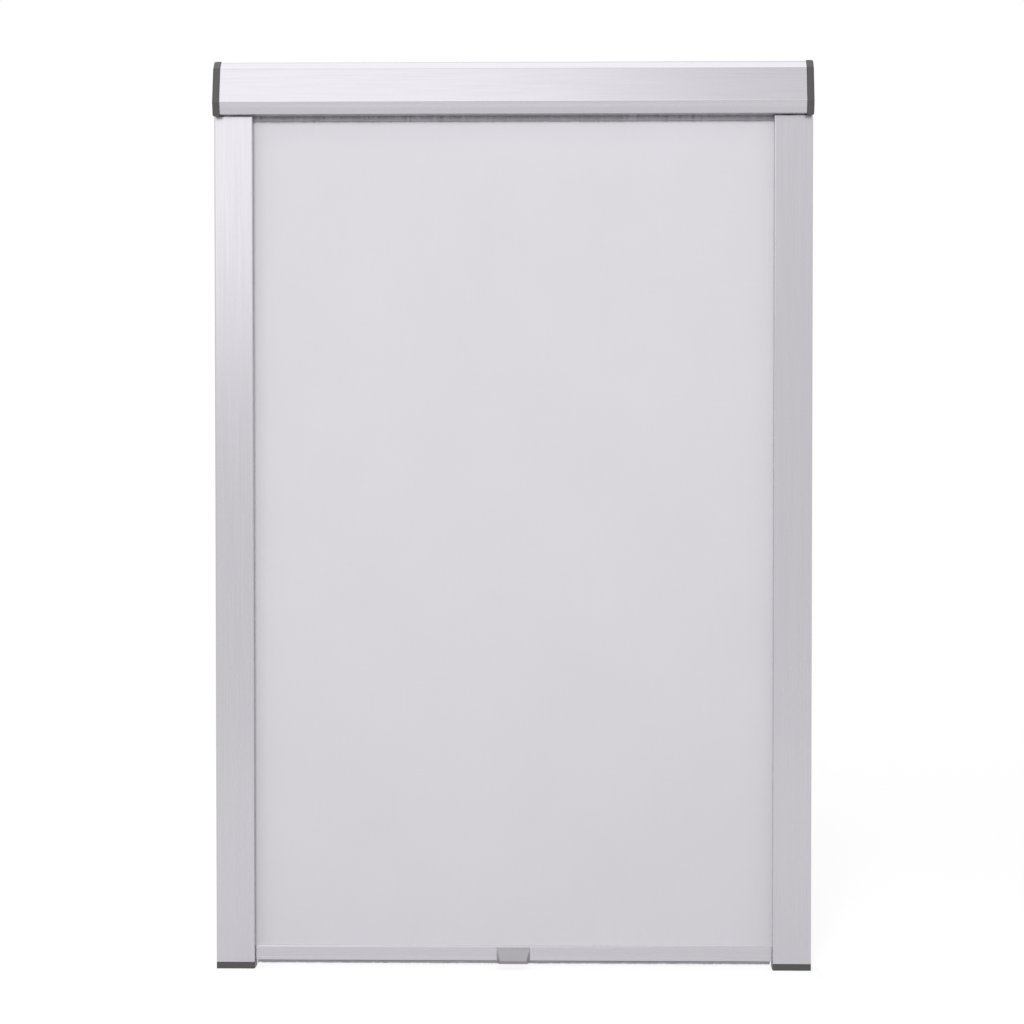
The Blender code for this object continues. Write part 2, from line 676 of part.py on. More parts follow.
def screw_mesh():
    """A pan-head screw along X, its head's outer face at zero and its point towards -X."""
    tip = -SCREW_HEAD_HEIGHT - SCREW_LENGTH
    blank = turned(
        "cap_screw",
        [
            (0, 0),
            (SCREW_CROWN_RADIUS, 0),
            (SCREW_HEAD_RADIUS, SCREW_RIM_HEIGHT - SCREW_HEAD_HEIGHT),
            (SCREW_HEAD_RADIUS, -SCREW_HEAD_HEIGHT),
            (SCREW_SHANK_RADIUS, -SCREW_HEAD_HEIGHT),
            (SCREW_SHANK_RADIUS, tip + SCREW_POINT),
            (0, tip),
        ],
        (0, 0, 0),
        STEEL,
        steps=SMALL_TURN_STEPS,
    )
    half_slot, half_span = SCREW_RECESS_WIDTH / 2, SCREW_RECESS_SPAN / 2
    level = box(
        "recess_level",
        (-SCREW_RECESS_DEPTH, -half_span, -half_slot),
        (SCREW_RECESS_DEPTH, half_span, half_slot),
        STEEL,
    )
    upright = box(
        "recess_upright",
        (-SCREW_RECESS_DEPTH, -half_slot, -half_span),
        (SCREW_RECESS_DEPTH, half_slot, half_span),
        STEEL,
    )
    cut(blank, level, upright)
    mesh = baked(blank, "cap_screw")
    bpy.data.objects.remove(blank)
    return mesh


def build_cap_screws():
    """Three screws through each cap, every one its own object on one shared mesh."""
    mesh = screw_mesh()
    left_turn = Matrix.Rotation(math.pi, 4, "Z")
    for number, (y, z) in enumerate(screw_places(), start=1):
        right = bpy.data.objects.new(f"cap_screw_right_{number}", mesh)
        right.location = (HALF_WIDTH - SCREW_SUNK, y, z)
        left = bpy.data.objects.new(f"cap_screw_left_{number}", mesh)
        left.matrix_world = Matrix.Translation((-HALF_WIDTH + SCREW_SUNK, y, z)) @ left_turn
        for screw in (left, right):
            BLIND.objects.link(screw)


def build_brackets():
    """Clip bracket of bent sheet in the cap's pocket, flush with the cap, with two screw holes."""
    outer, half = HALF_WIDTH, BRACKET_HEIGHT / 2
    lip_end = outer - POCKET_DEPTH + SEAT_GAP
    corners = [
        (outer, -half, BRACKET_WALL / 2),
        (outer, half, BRACKET_WALL / 2),
        (lip_end, half, 0),
        (lip_end, half - BRACKET_WALL, 0),
        (outer - BRACKET_WALL, half - BRACKET_WALL, 0),
        (outer - BRACKET_WALL, -half + BRACKET_WALL, 0),
        (lip_end, -half + BRACKET_WALL, 0),
        (lip_end, -half, 0),
    ]
    bracket = extruded("mounting_bracket", [rounded(corners)], 0, BRACKET_REACH, ALONG_Y, STEEL)
    for side in (-1, 1):
        y = (-BRACKET_REACH + side * BRACKET_HOLE_SPACING) / 2
        near, far = outer - BRACKET_WALL * 2, outer + BRACKET_WALL
        drill = cylinder(f"bracket_hole_{side}", BRACKET_HOLE_RADIUS, near, far, y, 0, STEEL)
        cut(bracket, drill)
    return mirrored_pair(bracket, "mounting_bracket")


def build_rails():
    """Side rail: front face, web against the sash, and a guide slot between a fin and the rear flange."""
    outer, web = HALF_WIDTH, WEB_INNER
    front, front_inner = -RAIL_DEPTH, -RAIL_DEPTH + RAIL_WALL
    corners = [
        (outer, 0, 0),
        (outer, front, RAIL_EDGE_RADIUS),
        (RAIL_INNER_EDGE, front, RAIL_EDGE_RADIUS),
        (RAIL_INNER_EDGE, front + RAIL_RETURN, 0),
        (RAIL_INNER_EDGE + RAIL_WALL, front + RAIL_RETURN, 0),
        (RAIL_INNER_EDGE + RAIL_WALL, front_inner, 0),
        (web, front_inner, 0),
        (web, FIN_FRONT, 0),
        (FIN_EDGE, FIN_FRONT, 0),
        (FIN_EDGE, FIN_REAR, 0),
        (web, FIN_REAR, 0),
        (web, -RAIL_WALL, 0),
        (REAR_FLANGE_EDGE, -RAIL_WALL, 0),
        (REAR_FLANGE_EDGE, 0, 0),
    ]
    rail = extruded("side_rail", [rounded(corners)], RAIL_BOTTOM, RAIL_TOP, ALONG_Z, ALUMINIUM)
    hole_y = (front_inner + FIN_FRONT) / 2
    lowest, highest = RAIL_BOTTOM + RAIL_HOLE_INSET, RAIL_TOP - RAIL_HOLE_INSET
    for number in range(RAIL_HOLES):
        z = lowest + (highest - lowest) * number / (RAIL_HOLES - 1)
        near, far = web - RAIL_WALL, outer + RAIL_WALL
        drill = cylinder(f"rail_hole_{number}", RAIL_HOLE_RADIUS, near, far, hole_y, z, ALUMINIUM)
        cut(rail, drill)
    return mirrored_pair(rail, "side_rail")


def build_rail_caps():
    """Plug at the foot of a rail. The slide shoe comes to rest on it."""
    outline = rectangle(RAIL_INNER_EDGE, HALF_WIDTH, -RAIL_DEPTH, 0, RAIL_CAP_RADIUS)
    cap = extruded("rail_cap", [outline], FLOOR_Z, RAIL_CAP_TOP, ALONG_Z, DARK_PLASTIC)
    side, front = WEB_INNER - SEAT_GAP, -RAIL_DEPTH + RAIL_WALL + SEAT_GAP
    plug = box(
        "rail_plug",
        (side - RAIL_PLUG_WIDTH, front, FLOOR_Z + RAIL_CAP_HEIGHT / 2),
        (side, FIN_FRONT - SEAT_GAP, RAIL_CAP_TOP + RAIL_PLUG_HEIGHT),
        DARK_PLASTIC,
    )
    join(cap, plug)
    return mirrored_pair(cap, "rail_cap")


def pile_outline(base, tip, middle, flip=False):
    """Section of a pile seal, from the back of its base to the pile's tip."""
    step = base + math.copysign(PILE_BASE_THICKNESS, tip - base)
    half_base, half_pile = PILE_BASE_WIDTH / 2, PILE_WIDTH / 2
    corners = [
        (base, middle - half_base),
        (step, middle - half_base),
        (step, middle - half_pile),
        (tip, middle - half_pile),
        (tip, middle + half_pile),
        (step, middle + half_pile),
        (step, middle + half_base),
        (base, middle + half_base),
    ]
    return [Vector((v, u)) if flip else Vector((u, v)) for u, v in corners]


def build_pile_seals():
    """Strips in front of the fabric: one in each rail, and a hanging one in the cassette's slot."""
    tip = FABRIC_FRONT - SEAT_GAP
    rail_middle = FIN_EDGE + SEAT_GAP + PILE_BASE_WIDTH / 2
    rail_outline = pile_outline(FIN_REAR + SEAT_GAP, tip, rail_middle, flip=True)
    rail_pile = extruded("rail_pile", [rail_outline], RAIL_BOTTOM, RAIL_TOP, ALONG_Z, PILE)
    backing_front = SLOT_FRONT + SEAT_GAP
    curtain_front = backing_front + CURTAIN_INSET
    curtain_rear = tip - CURTAIN_INSET
    backing_top = -COVER_TOP + SLOT_LIP_HEIGHT - SEAT_GAP
    backing_foot = -COVER_TOP + SEAT_GAP
    slot_outline = [
        Vector((backing_front, backing_top)),
        Vector((backing_front, backing_foot)),
        Vector((curtain_front, backing_foot)),
        Vector((curtain_front, CURTAIN_FOOT)),
        Vector((curtain_rear, CURTAIN_FOOT)),
        Vector((curtain_rear, backing_foot)),
        Vector((tip, backing_foot)),
        Vector((tip, backing_top)),
    ]
    extruded("slot_pile", [slot_outline], -FIN_EDGE, FIN_EDGE, ALONG_X, PILE)
    return mirrored_pair(rail_pile, "rail_pile")


def build_roller():
    """Tube, its end plugs and the fabric still wound on it. All of them turn together."""
    axis_y, axis_z = ROLLER_AXIS.yz
    bore = TUBE_RADIUS - TUBE_WALL
    fit = bore - SEAT_GAP
    shaft_bore = SHAFT_RADIUS + RUNNING_GAP
    tube = turned(
        "roller_tube",
        ring_profile(TUBE_RADIUS, bore, 2 * TUBE_END),
        (-TUBE_END, axis_y, axis_z),
        ALUMINIUM,
        hollow=True,
    )
    flange_start = TUBE_END + SEAT_GAP
    flange_end = flange_start + FLANGE_THICKNESS
    spring_bush = turned(
        "spring_end_bush",
        [
            (fit, FLANGE_THICKNESS + BUSH_LENGTH),
            (fit, FLANGE_THICKNESS),
            (FLANGE_RADIUS, FLANGE_THICKNESS),
            (FLANGE_RADIUS, 0),
            (shaft_bore, 0),
            (shaft_bore, FLANGE_THICKNESS + BUSH_LENGTH),
        ],
        (-flange_end, axis_y, axis_z),
        DARK_PLASTIC,
        hollow=True,
    )
    plug_floor = idle_pin_start() - SEAT_GAP
    idle_plug = turned(
        "idle_end_plug",
        [
            (0, 0),
            (shaft_bore, 0),
            (shaft_bore, flange_end - plug_floor),
            (FLANGE_RADIUS, flange_end - plug_floor),
            (FLANGE_RADIUS, flange_start - plug_floor),
            (fit, flange_start - plug_floor),
            (fit, -PLUG_FLOOR),
            (0, -PLUG_FLOOR),
        ],
        (plug_floor, axis_y, axis_z),
        DARK_PLASTIC,
    )
    drive_plug = turned(
        "spring_drive_plug",
        ring_profile(fit, shaft_bore, DRIVE_LENGTH),
        (drive_start(), axis_y, axis_z),
        SHOE_PLASTIC,
        hollow=True,
    )
    return [tube, spring_bush, idle_plug, drive_plug, build_fabric_roll()]


def build_fabric_roll():
    """The last turns of fabric on the tube, one strip wound inwards from where the hanging part leaves it."""
    outer_line, inner_line = [], []
    for step in range(ROLL_TURNS * ROLL_STEPS + 1):
        turn = step / ROLL_STEPS
        angle = 2 * math.pi * turn
        outside = ROLL_OUTER - ROLL_PITCH * turn
        direction = Vector((math.cos(angle), math.sin(angle)))
        centre = Vector(ROLLER_AXIS.yz)
        outer_line.append(centre + direction * outside)
        inner_line.append(centre + direction * (outside - FABRIC_THICKNESS))
    outline = outer_line + inner_line[::-1]
    return extruded("fabric_roll", [outline], -FABRIC_EDGE, FABRIC_EDGE, ALONG_X, FABRIC)


def shaft_start():
    """Outer end of the spring's shaft, at the bottom of the left cap's socket."""
    return -(BOSS_FACE + SOCKET_DEPTH) + SEAT_GAP


def idle_pin_start():
    """Inner end of the idle pin, whose other end is at the bottom of the right cap's socket."""
    return BOSS_FACE + SOCKET_DEPTH - SEAT_GAP - IDLE_PIN_LENGTH


def anchor_start():
    """Outer face of the plug that holds the spring's still end."""
    return -(TUBE_END + SEAT_GAP) + BUSH_LENGTH + SEAT_GAP * 2


def spring_start():
    return anchor_start() + ANCHOR_LENGTH + SEAT_GAP


def drive_start():
    """Near face of the plug that holds the spring's turning end."""
    return spring_start() + SPRING_LENGTH + SEAT_GAP


def flat_end(name, rod, near, far):
    """Cuts the flat that stops a rod turning in its socket."""
    level = ROLLER_AXIS.z + SHAFT_RADIUS - SHAFT_FLAT
    trim = box(
        name,
        (near, ROLLER_AXIS.y - SHAFT_RADIUS * 2, level),
        (far, ROLLER_AXIS.y + SHAFT_RADIUS * 2, level + SHAFT_RADIUS * 2),
        STEEL,
    )
    cut(rod, trim)


def build_roller_bearings():
    """Pieces inside the roller that stay still: shaft, spring anchor, spring and idle pin."""
    axis_y, axis_z = ROLLER_AXIS.yz
    start = shaft_start()
    end = drive_start() + DRIVE_LENGTH + SHAFT_OVERHANG
    shaft = cylinder("spring_shaft", SHAFT_RADIUS, start, end, axis_y, axis_z, STEEL)
    flat_end("shaft_flat", shaft, start - SOCKET_DEPTH, -BOSS_FACE)
    anchor_radius = TUBE_RADIUS - TUBE_WALL - ANCHOR_CLEARANCE
    turned(
        "spring_anchor_plug",
        ring_profile(anchor_radius, SHAFT_RADIUS + SEAT_GAP, ANCHOR_LENGTH),
        (anchor_start(), axis_y, axis_z),
        SHOE_PLASTIC,
        hollow=True,
    )
    pin_start = idle_pin_start()
    pin_end = pin_start + IDLE_PIN_LENGTH
    pin = cylinder("idle_pin", SHAFT_RADIUS, pin_start, pin_end, axis_y, axis_z, STEEL)
    flat_end("pin_flat", pin, BOSS_FACE, pin_end + SOCKET_DEPTH)
    build_spring()


def spring_points():
    """Centreline of the torsion spring: a straight leg at each end and even turns between them."""
    axis_y, axis_z = ROLLER_AXIS.yz
    start = spring_start()
    coil_start = start + SPRING_LEG
    coil_length = SPRING_LENGTH - 2 * SPRING_LEG
    points = [Vector((start, axis_y + SPRING_RADIUS, axis_z))]
    for step in range(SPRING_TURNS * SPRING_STEPS + 1):
        turn = step / SPRING_STEPS
        angle = 2 * math.pi * turn
        along = coil_start + coil_length * turn / SPRING_TURNS
        side = Vector((0, math.cos(angle), math.sin(angle))) * SPRING_RADIUS
        points.append(Vector((along, axis_y, axis_z)) + side)
    points.append(points[-1] + Vector((SPRING_LEG, 0, 0)))
    return points


def build_spring():
    points = spring_points()
    curve = bpy.data.curves.new("roller_spring", "CURVE")
    curve.dimensions = "3D"
    curve.bevel_depth = SPRING_WIRE_RADIUS
    curve.bevel_resolution = 1
    curve.use_fill_caps = True
    spline = curve.splines.new("POLY")
    spline.points.add(len(points) - 1)
    for point, place in zip(spline.points, points):
        point.co = (*place, 1)
    add_object("roller_spring", curve, SPRING_STEEL)
    coil = points[1:-1]
    gap = min((b - a).length for a, b in zip(coil, coil[SPRING_STEPS:])) - 2 * SPRING_WIRE_RADIUS
    print(f"roller_spring: least gap between turns {gap / MM:.2f} mm")


def build_fabric_panel():
    """The drawn fabric, flat and taut from the roller to just above the bar, its edges in the rails."""
    return box(
        "fabric_panel",
        (-FABRIC_EDGE, FABRIC_FRONT, BAR_TOP + SEAT_GAP),
        (FABRIC_EDGE, FABRIC_FRONT + FABRIC_THICKNESS, ROLLER_AXIS.z),
        FABRIC,
    )


def build_bar():
    """Bottom bar: one section with the rod's pocket on top, the seal's pocket below and two hollows."""
    slot, pocket = ROD_SLOT / 2, ROD_POCKET
    slot_floor, pocket_floor = BAR_TOP - BAR_WALL, ROD_Z - ROD_POCKET
    mouth, seal_half = SEAL_MOUTH / 2, SEAL_POCKET_WIDTH / 2
    lip_top = BAR_BOTTOM + BAR_WALL
    seal_top = lip_top + SEAL_POCKET_HEIGHT
    outline = rounded(
        [
            (BAR_FRONT + BAR_RIM_THICKNESS, BAR_TOP, 0),
            (BAR_FRONT + BAR_RIM_THICKNESS, RIM_TOP, BAR_EDGE_RADIUS / 2),
            (BAR_FRONT, RIM_TOP, BAR_EDGE_RADIUS),
            (BAR_FRONT, BAR_BOTTOM, BAR_EDGE_RADIUS),
            (SEAL_Y - mouth, BAR_BOTTOM, 0),
            (SEAL_Y - mouth, lip_top, 0),
            (SEAL_Y - seal_half, lip_top, 0),
            (SEAL_Y - seal_half, seal_top, 0),
            (SEAL_Y + seal_half, seal_top, 0),
            (SEAL_Y + seal_half, lip_top, 0),
            (SEAL_Y + mouth, lip_top, 0),
            (SEAL_Y + mouth, BAR_BOTTOM, 0),
            (BAR_REAR, BAR_BOTTOM, BAR_EDGE_RADIUS),
            (BAR_REAR, BAR_TOP, BAR_EDGE_RADIUS),
            (FABRIC_Y + slot, BAR_TOP, 0),
            (FABRIC_Y + slot, slot_floor, 0),
            (FABRIC_Y + pocket, slot_floor, 0),
            (FABRIC_Y + pocket, pocket_floor, 0),
            (FABRIC_Y - pocket, pocket_floor, 0),
            (FABRIC_Y - pocket, slot_floor, 0),
            (FABRIC_Y - slot, slot_floor, 0),
            (FABRIC_Y - slot, BAR_TOP, 0),
        ]
    )
    front_hollow = rectangle(CHAMBER_FRONT, CHAMBER_REAR, CHAMBER_BOTTOM, CHAMBER_TOP)
    rear_hollow = rectangle(
        SEAL_Y + seal_half + BAR_WALL,
        BAR_REAR - BAR_WALL,
        BAR_BOTTOM + BAR_WALL,
        pocket_floor - BAR_WALL,
    )
    bar = extruded("bottom_bar", [outline, front_hollow, rear_hollow], -BAR_END, BAR_END, ALONG_X, ALUMINIUM)
    for side in (-1, 1):
        x = side * TAB_SPACING / 2
        half_width = TAB_WIDTH / 2 + TAB_CLEARANCE
        cut(
            bar,
            box(
                f"tab_slot_{side}",
                (x - half_width, BAR_FRONT - BAR_WALL, tab_z() - TAB_HEIGHT / 2 - TAB_CLEARANCE),
                (x + half_width, CHAMBER_FRONT + TAB_CLEARANCE, tab_z() + TAB_HEIGHT / 2 + TAB_CLEARANCE),
                ALUMINIUM,
            ),
        )
    return bar


def tab_z():
    """Height of the grip's clip tabs, in the middle of the bar's front hollow."""
    return (CHAMBER_TOP + CHAMBER_BOTTOM) / 2


def build_hem():
    """Lower edge of the fabric, wrapped round a plastic rod that is threaded into the bar."""
    rod = circle(ROD_RADIUS, FABRIC_Y, ROD_Z, SMALL_TURN_STEPS)
    hem = extruded("fabric_hem_rod", [rod], -BAR_END, BAR_END, ALONG_X, FABRIC)
    stem = box(
        "hem_stem",
        (-BAR_END, FABRIC_FRONT, ROD_Z),
        (BAR_END, FABRIC_FRONT + FABRIC_THICKNESS, BAR_TOP),
        FABRIC,
    )
    join(hem, stem)
    return hem


def build_bar_seal():
    """Pile seal under the bar, held by its base in the bar's lower pocket."""
    half_base = SEAL_POCKET_WIDTH / 2 - SEAT_GAP
    half_neck = SEAL_MOUTH / 2 - SEAT_GAP
    half_pile = SEAL_WIDTH / 2
    neck_top, neck_foot = BAR_BOTTOM + BAR_WALL + SEAT_GAP, BAR_BOTTOM - SEAT_GAP
    base_top, pile_foot = BAR_BOTTOM + BAR_WALL + SEAL_POCKET_HEIGHT - SEAT_GAP, BAR_BOTTOM - SEAL_DROP
    half_outline = [
        (half_base, base_top),
        (half_base, neck_top),
        (half_neck, neck_top),
        (half_neck, neck_foot),
        (half_pile, neck_foot),
        (half_pile, pile_foot),
    ]
    right = [Vector((SEAL_Y + y, z)) for y, z in half_outline]
    left = [Vector((SEAL_Y - y, z)) for y, z in reversed(half_outline)]
    return extruded("bar_pile_seal", [right + left], -SEAL_END, SEAL_END, ALONG_X, PILE)


def build_grip():
    """Finger grip: a wedge that narrows to its nose, hollow from below, on two clip tabs."""
    base = BAR_FRONT - SEAT_GAP
    nose = BAR_FRONT - GRIP_REACH
    top = RIM_TOP - GRIP_TOP_GAP
    bottom = BAR_BOTTOM - GRIP_NOSE_DROP
    nose_top = bottom + GRIP_NOSE_HEIGHT
    wedge = rounded(
        [
            (base, top, 0),
            (base - GRIP_BASE, top, GRIP_BASE / 2),
            (nose, nose_top, GRIP_BASE),
            (nose, bottom, GRIP_BASE / 2),
            (base, BAR_BOTTOM, 0),
        ]
    )
    half_width = GRIP_WIDTH / 2
    grip = extruded("pull_grip", [wedge], -half_width, half_width, ALONG_X, GRIP_PLASTIC)
    for vertex in grip.data.vertices:
        share = (base - vertex.co.y) / (base - nose)
        vertex.co.x *= 1 - share * (1 - GRIP_NOSE_WIDTH / GRIP_WIDTH)

    hollow_rear = base - GRIP_BASE
    hollow_front = nose + GRIP_SHELL
    slope = (nose_top - top) / (nose - (base - GRIP_BASE))
    hollow_top = top - GRIP_SHELL * math.hypot(1, slope)
    hollow_foot = bottom - GRIP_SHELL
    hollow = [
        Vector((hollow_rear, hollow_foot)),
        Vector((hollow_rear, hollow_top)),
        Vector((hollow_front, hollow_top + slope * (hollow_front - hollow_rear))),
        Vector((hollow_front, hollow_foot)),
    ]
    half_hollow = GRIP_HOLLOW_WIDTH / 2
    cut(grip, extruded("finger_hollow", [hollow], -half_hollow, half_hollow, ALONG_X, GRIP_PLASTIC))

    low, high = tab_z() - TAB_HEIGHT / 2, tab_z() + TAB_HEIGHT / 2
    tip = BAR_FRONT + TAB_REACH
    catch = CHAMBER_FRONT + SEAT_GAP
    tab = [
        Vector((base - GRIP_BASE / 2, low)),
        Vector((catch, low)),
        Vector((catch, low - TAB_BARB)),
        Vector((tip, low + TAB_BARB)),
        Vector((tip, high)),
        Vector((base - GRIP_BASE / 2, high)),
    ]
    for side in (-1, 1):
        near = side * TAB_SPACING / 2 - TAB_WIDTH / 2
        clip = extruded(f"clip_tab_{side}", [tab], near, near + TAB_WIDTH, ALONG_X, GRIP_PLASTIC)
        join(grip, clip)
    return grip


def build_shoes():
    """Slide shoe: a plug in the bar, a flange on its end and a hooked head that runs in the guide slot."""
    shoe_end = WEB_INNER - SHOE_END_GAP
    neck_start = BAR_END + SEAT_GAP
    neck_end = FIN_EDGE + SEAT_GAP + PILE_BASE_WIDTH + SEAT_GAP * 2
    shoe_foot = RAIL_CAP_TOP + SEAT_GAP
    shoe_rear = -RAIL_WALL - SHOE_SLOT_CLEARANCE
    head = box(
        "slide_shoe",
        (neck_end, FIN_REAR + SHOE_SLOT_CLEARANCE, shoe_foot),
        (shoe_end, shoe_rear, BAR_TOP),
        SHOE_PLASTIC,
    )
    neck = box(
        "shoe_neck",
        (neck_start, FABRIC_FRONT, shoe_foot),
        (neck_end + RAIL_WALL, shoe_rear, BAR_TOP),
        SHOE_PLASTIC,
    )
    flange = box(
        "shoe_flange",
        (neck_start, BAR_FRONT + SEAT_GAP, BAR_BOTTOM),
        (neck_start + SHOE_FLANGE, BAR_REAR, BAR_TOP),
        SHOE_PLASTIC,
    )
    plug = box(
        "shoe_plug",
        (BAR_END - SHOE_PLUG_LENGTH, CHAMBER_FRONT + SEAT_GAP, CHAMBER_BOTTOM + SEAT_GAP),
        (neck_start + SHOE_FLANGE / 2, CHAMBER_REAR - SEAT_GAP, CHAMBER_TOP - SEAT_GAP),
        SHOE_PLASTIC,
    )
    join(head, neck, flange, plug)
    return mirrored_pair(head, "slide_shoe")


def build_brake_springs():
    """Bowed leaf between the shoe and the rail's web. Its friction holds the bar where it is left."""
    near = WEB_INNER - SHOE_END_GAP + SEAT_GAP
    far = WEB_INNER - SEAT_GAP
    rise = far - near - BRAKE_STRIP
    half = BRAKE_HEIGHT / 2
    radius = (half**2 + rise**2) / (2 * rise)
    middle = (BAR_TOP + RAIL_CAP_TOP) / 2
    spread = math.asin(half / radius)
    steps = ARC_STEPS * 4
    inner_line, outer_line = [], []
    for step in range(steps + 1):
        angle = spread * (2 * step / steps - 1)
        direction = Vector((math.cos(angle), math.sin(angle)))
        centre = Vector((far - BRAKE_STRIP - radius, middle))
        inner_line.append(centre + direction * radius)
        outer_line.append(centre + direction * (radius + BRAKE_STRIP))
    rear = -(RAIL_WALL + (GUIDE_SLOT - BRAKE_WIDTH) / 2)
    outline = inner_line + outer_line[::-1]
    leaf = extruded("brake_spring", [outline], -rear, -rear + BRAKE_WIDTH, ALONG_Y, SPRING_STEEL)
    return mirrored_pair(leaf, "brake_spring")


def main():
    build_cover()
    build_back_plate()
    build_cassette_cap()
    build_cap_screws()
    build_brackets()
    build_rails()
    build_rail_caps()
    build_pile_seals()
    build_roller_bearings()
    build_fabric_panel()
    hang_on(ROLLER_AXIS, "roller_axis", build_roller())
    bar_pieces = [build_bar(), build_hem(), build_bar_seal(), build_grip()]
    bar_pieces += [*build_shoes(), *build_brake_springs()]
    bar_place = Vector((0, FABRIC_Y, BAR_TOP))
    hang_on(bar_place, "bar_slide", bar_pieces)
    print(f"bar travel {BAR_TRAVEL / MM:.1f} mm, roller at y {ROLLER_Y / MM:.3f} mm")


main()
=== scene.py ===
"""Looks of the skylight roller blind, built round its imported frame.

Units are metres, in the frame's own axes: +X to the right seen from the room, +Z up along the rails, and
the room side faces -Y. Sizes are written in millimetres and turned by MM.
"""
import math

import bmesh
import bpy
from mathutils import Matrix, Vector
from mathutils.geometry import tessellate_polygon


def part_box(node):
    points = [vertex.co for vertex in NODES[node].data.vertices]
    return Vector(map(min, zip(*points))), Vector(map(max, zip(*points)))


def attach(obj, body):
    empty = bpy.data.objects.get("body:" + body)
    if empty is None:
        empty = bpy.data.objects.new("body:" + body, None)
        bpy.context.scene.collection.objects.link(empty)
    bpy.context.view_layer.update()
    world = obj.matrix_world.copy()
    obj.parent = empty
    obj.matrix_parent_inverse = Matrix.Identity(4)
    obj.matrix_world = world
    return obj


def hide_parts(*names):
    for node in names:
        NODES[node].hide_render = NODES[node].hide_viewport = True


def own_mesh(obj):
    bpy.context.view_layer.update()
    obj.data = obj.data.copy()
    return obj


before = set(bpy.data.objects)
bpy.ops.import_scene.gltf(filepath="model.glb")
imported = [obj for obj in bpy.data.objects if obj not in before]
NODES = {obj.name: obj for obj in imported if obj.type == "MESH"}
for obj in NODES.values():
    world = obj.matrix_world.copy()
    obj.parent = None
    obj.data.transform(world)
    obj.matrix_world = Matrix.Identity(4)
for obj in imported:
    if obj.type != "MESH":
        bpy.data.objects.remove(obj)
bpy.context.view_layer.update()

MM = 0.001

# Cassette section, seen from its end as (y, z)
COVER_TOP = 27.2 * MM
COVER_WALL = 1.3 * MM
COVER_REAR = -1.9 * MM
BEND = 2.2 * MM
TOP_BEND = 9 * MM
NOSE = 3.2 * MM
COVE_DEPTH = 1.2 * MM
BACK_WALL = 1.6 * MM
FLOOR_LIP = 6 * MM
CHANNEL_RADIUS = 3.6 * MM
CHANNEL_BORE = 1.8 * MM
SECTION = [
    Vector((0, -27.2)) * MM,
    Vector((-40, -27.2)) * MM,
    Vector((-44, -15.5)) * MM,
    Vector((-34, 19.5)) * MM,
    Vector((-25, 27.2)) * MM,
    Vector((0, 27.2)) * MM,
]

# Rails
RAIL_OUTER = 306 * MM
RAIL_INNER = 266.5 * MM
RAIL_DEPTH = 26 * MM
RAIL_WALL = 1.4 * MM

# Fabric, and the roller's axis at z 0
FABRIC_Y = -8 * MM
FABRIC_THICKNESS = 0.35 * MM
ROLLER_Y = -21.375 * MM

# Middle of the brush under the bottom bar
SEAL_Y = -13.5 * MM

# Just under the feet of the rails
FLOOR_Z = -904.1 * MM

# Planes that a section is drawn in, and what it then runs along
ALONG_X = Matrix(((0, 0, 1, 0), (1, 0, 0, 0), (0, 1, 0, 0), (0, 0, 0, 1)))
ALONG_Z = Matrix.Identity(4)
MIRROR = Matrix.Scale(-1, 4, Vector((1, 0, 0)))


def linear(colour):
    """An sRGB hex colour as linear red, green, blue and alpha."""
    channels = [int(colour[place : place + 2], 16) / 255 for place in (0, 2, 4)]
    return (*[c / 12.92 if c <= 0.04045 else ((c + 0.055) / 1.055) ** 2.4 for c in channels], 1)


def feed(tree, node, inputs):
    """Gives a node its inputs. Each is a value, or the output of another node."""
    for key, value in inputs.items():
        if isinstance(value, bpy.types.NodeSocket):
            tree.links.new(value, node.inputs[key])
        else:
            node.inputs[key].default_value = value


def add(tree, kind, inputs=None, **settings):
    """Adds a node with its settings and inputs."""
    made = tree.nodes.new(kind)
    for name, value in settings.items():
        setattr(made, name, value)
    feed(tree, made, inputs or {})
    return made


def maths(tree, operation, *values, **settings):
    """The result of one sum."""
    inputs = dict(enumerate(values))
    return add(tree, "ShaderNodeMath", inputs, operation=operation, **settings).outputs[0]


def finish_named(name):
    """An empty material with its node tree and its surface shader."""
    made = bpy.data.materials.new(name)
    made.use_nodes = True
    tree = made.node_tree
    return made, tree, tree.nodes["Principled BSDF"]


def spots(tree, place, size, detail=2, **more):
    """A soft random pattern of spots. size is that of one spot in millimetres."""
    inputs = {"Vector": place, "Scale": 1000 / size, "Detail": detail, **more}
    return add(tree, "ShaderNodeTexNoise", inputs).outputs[0]


def streaks(tree, place, line, detail=2, roughness=0.5):
    """Spots drawn out into streaks. line is the size of one streak in millimetres along each axis."""
    scale = tuple(1000 / size for size in line)
    drawn = add(tree, "ShaderNodeMapping", {"Vector": place, "Scale": scale}).outputs[0]
    inputs = {"Vector": drawn, "Scale": 1, "Detail": detail, "Roughness": roughness}
    return add(tree, "ShaderNodeTexNoise", inputs).outputs[0]


def shades(tree, share, colour, darkest, lightest):
    """A colour that runs with a pattern between two shades, given as parts of its red, green and blue."""
    both = (darkest, lightest)
    dark, light = ((*[channel * part for channel, part in zip(linear(colour), parts)], 1) for parts in both)
    return add(tree, "ShaderNodeMix", {0: share, 6: dark, 7: light}, data_type="RGBA").outputs[2]


def spread(tree, value, low, high, least, most):
    """A pattern's values from low to high, turned into values from least to most."""
    return add(tree, "ShaderNodeMapRange", {0: value, 1: low, 2: high, 3: least, 4: most}).outputs[0]


def relief(tree, height, strength, depth, **more):
    """Fine relief from a pattern. depth is in millimetres."""
    inputs = {"Height": height, "Strength": strength, "Distance": depth * MM, **more}
    return add(tree, "ShaderNodeBump", inputs).outputs[0]


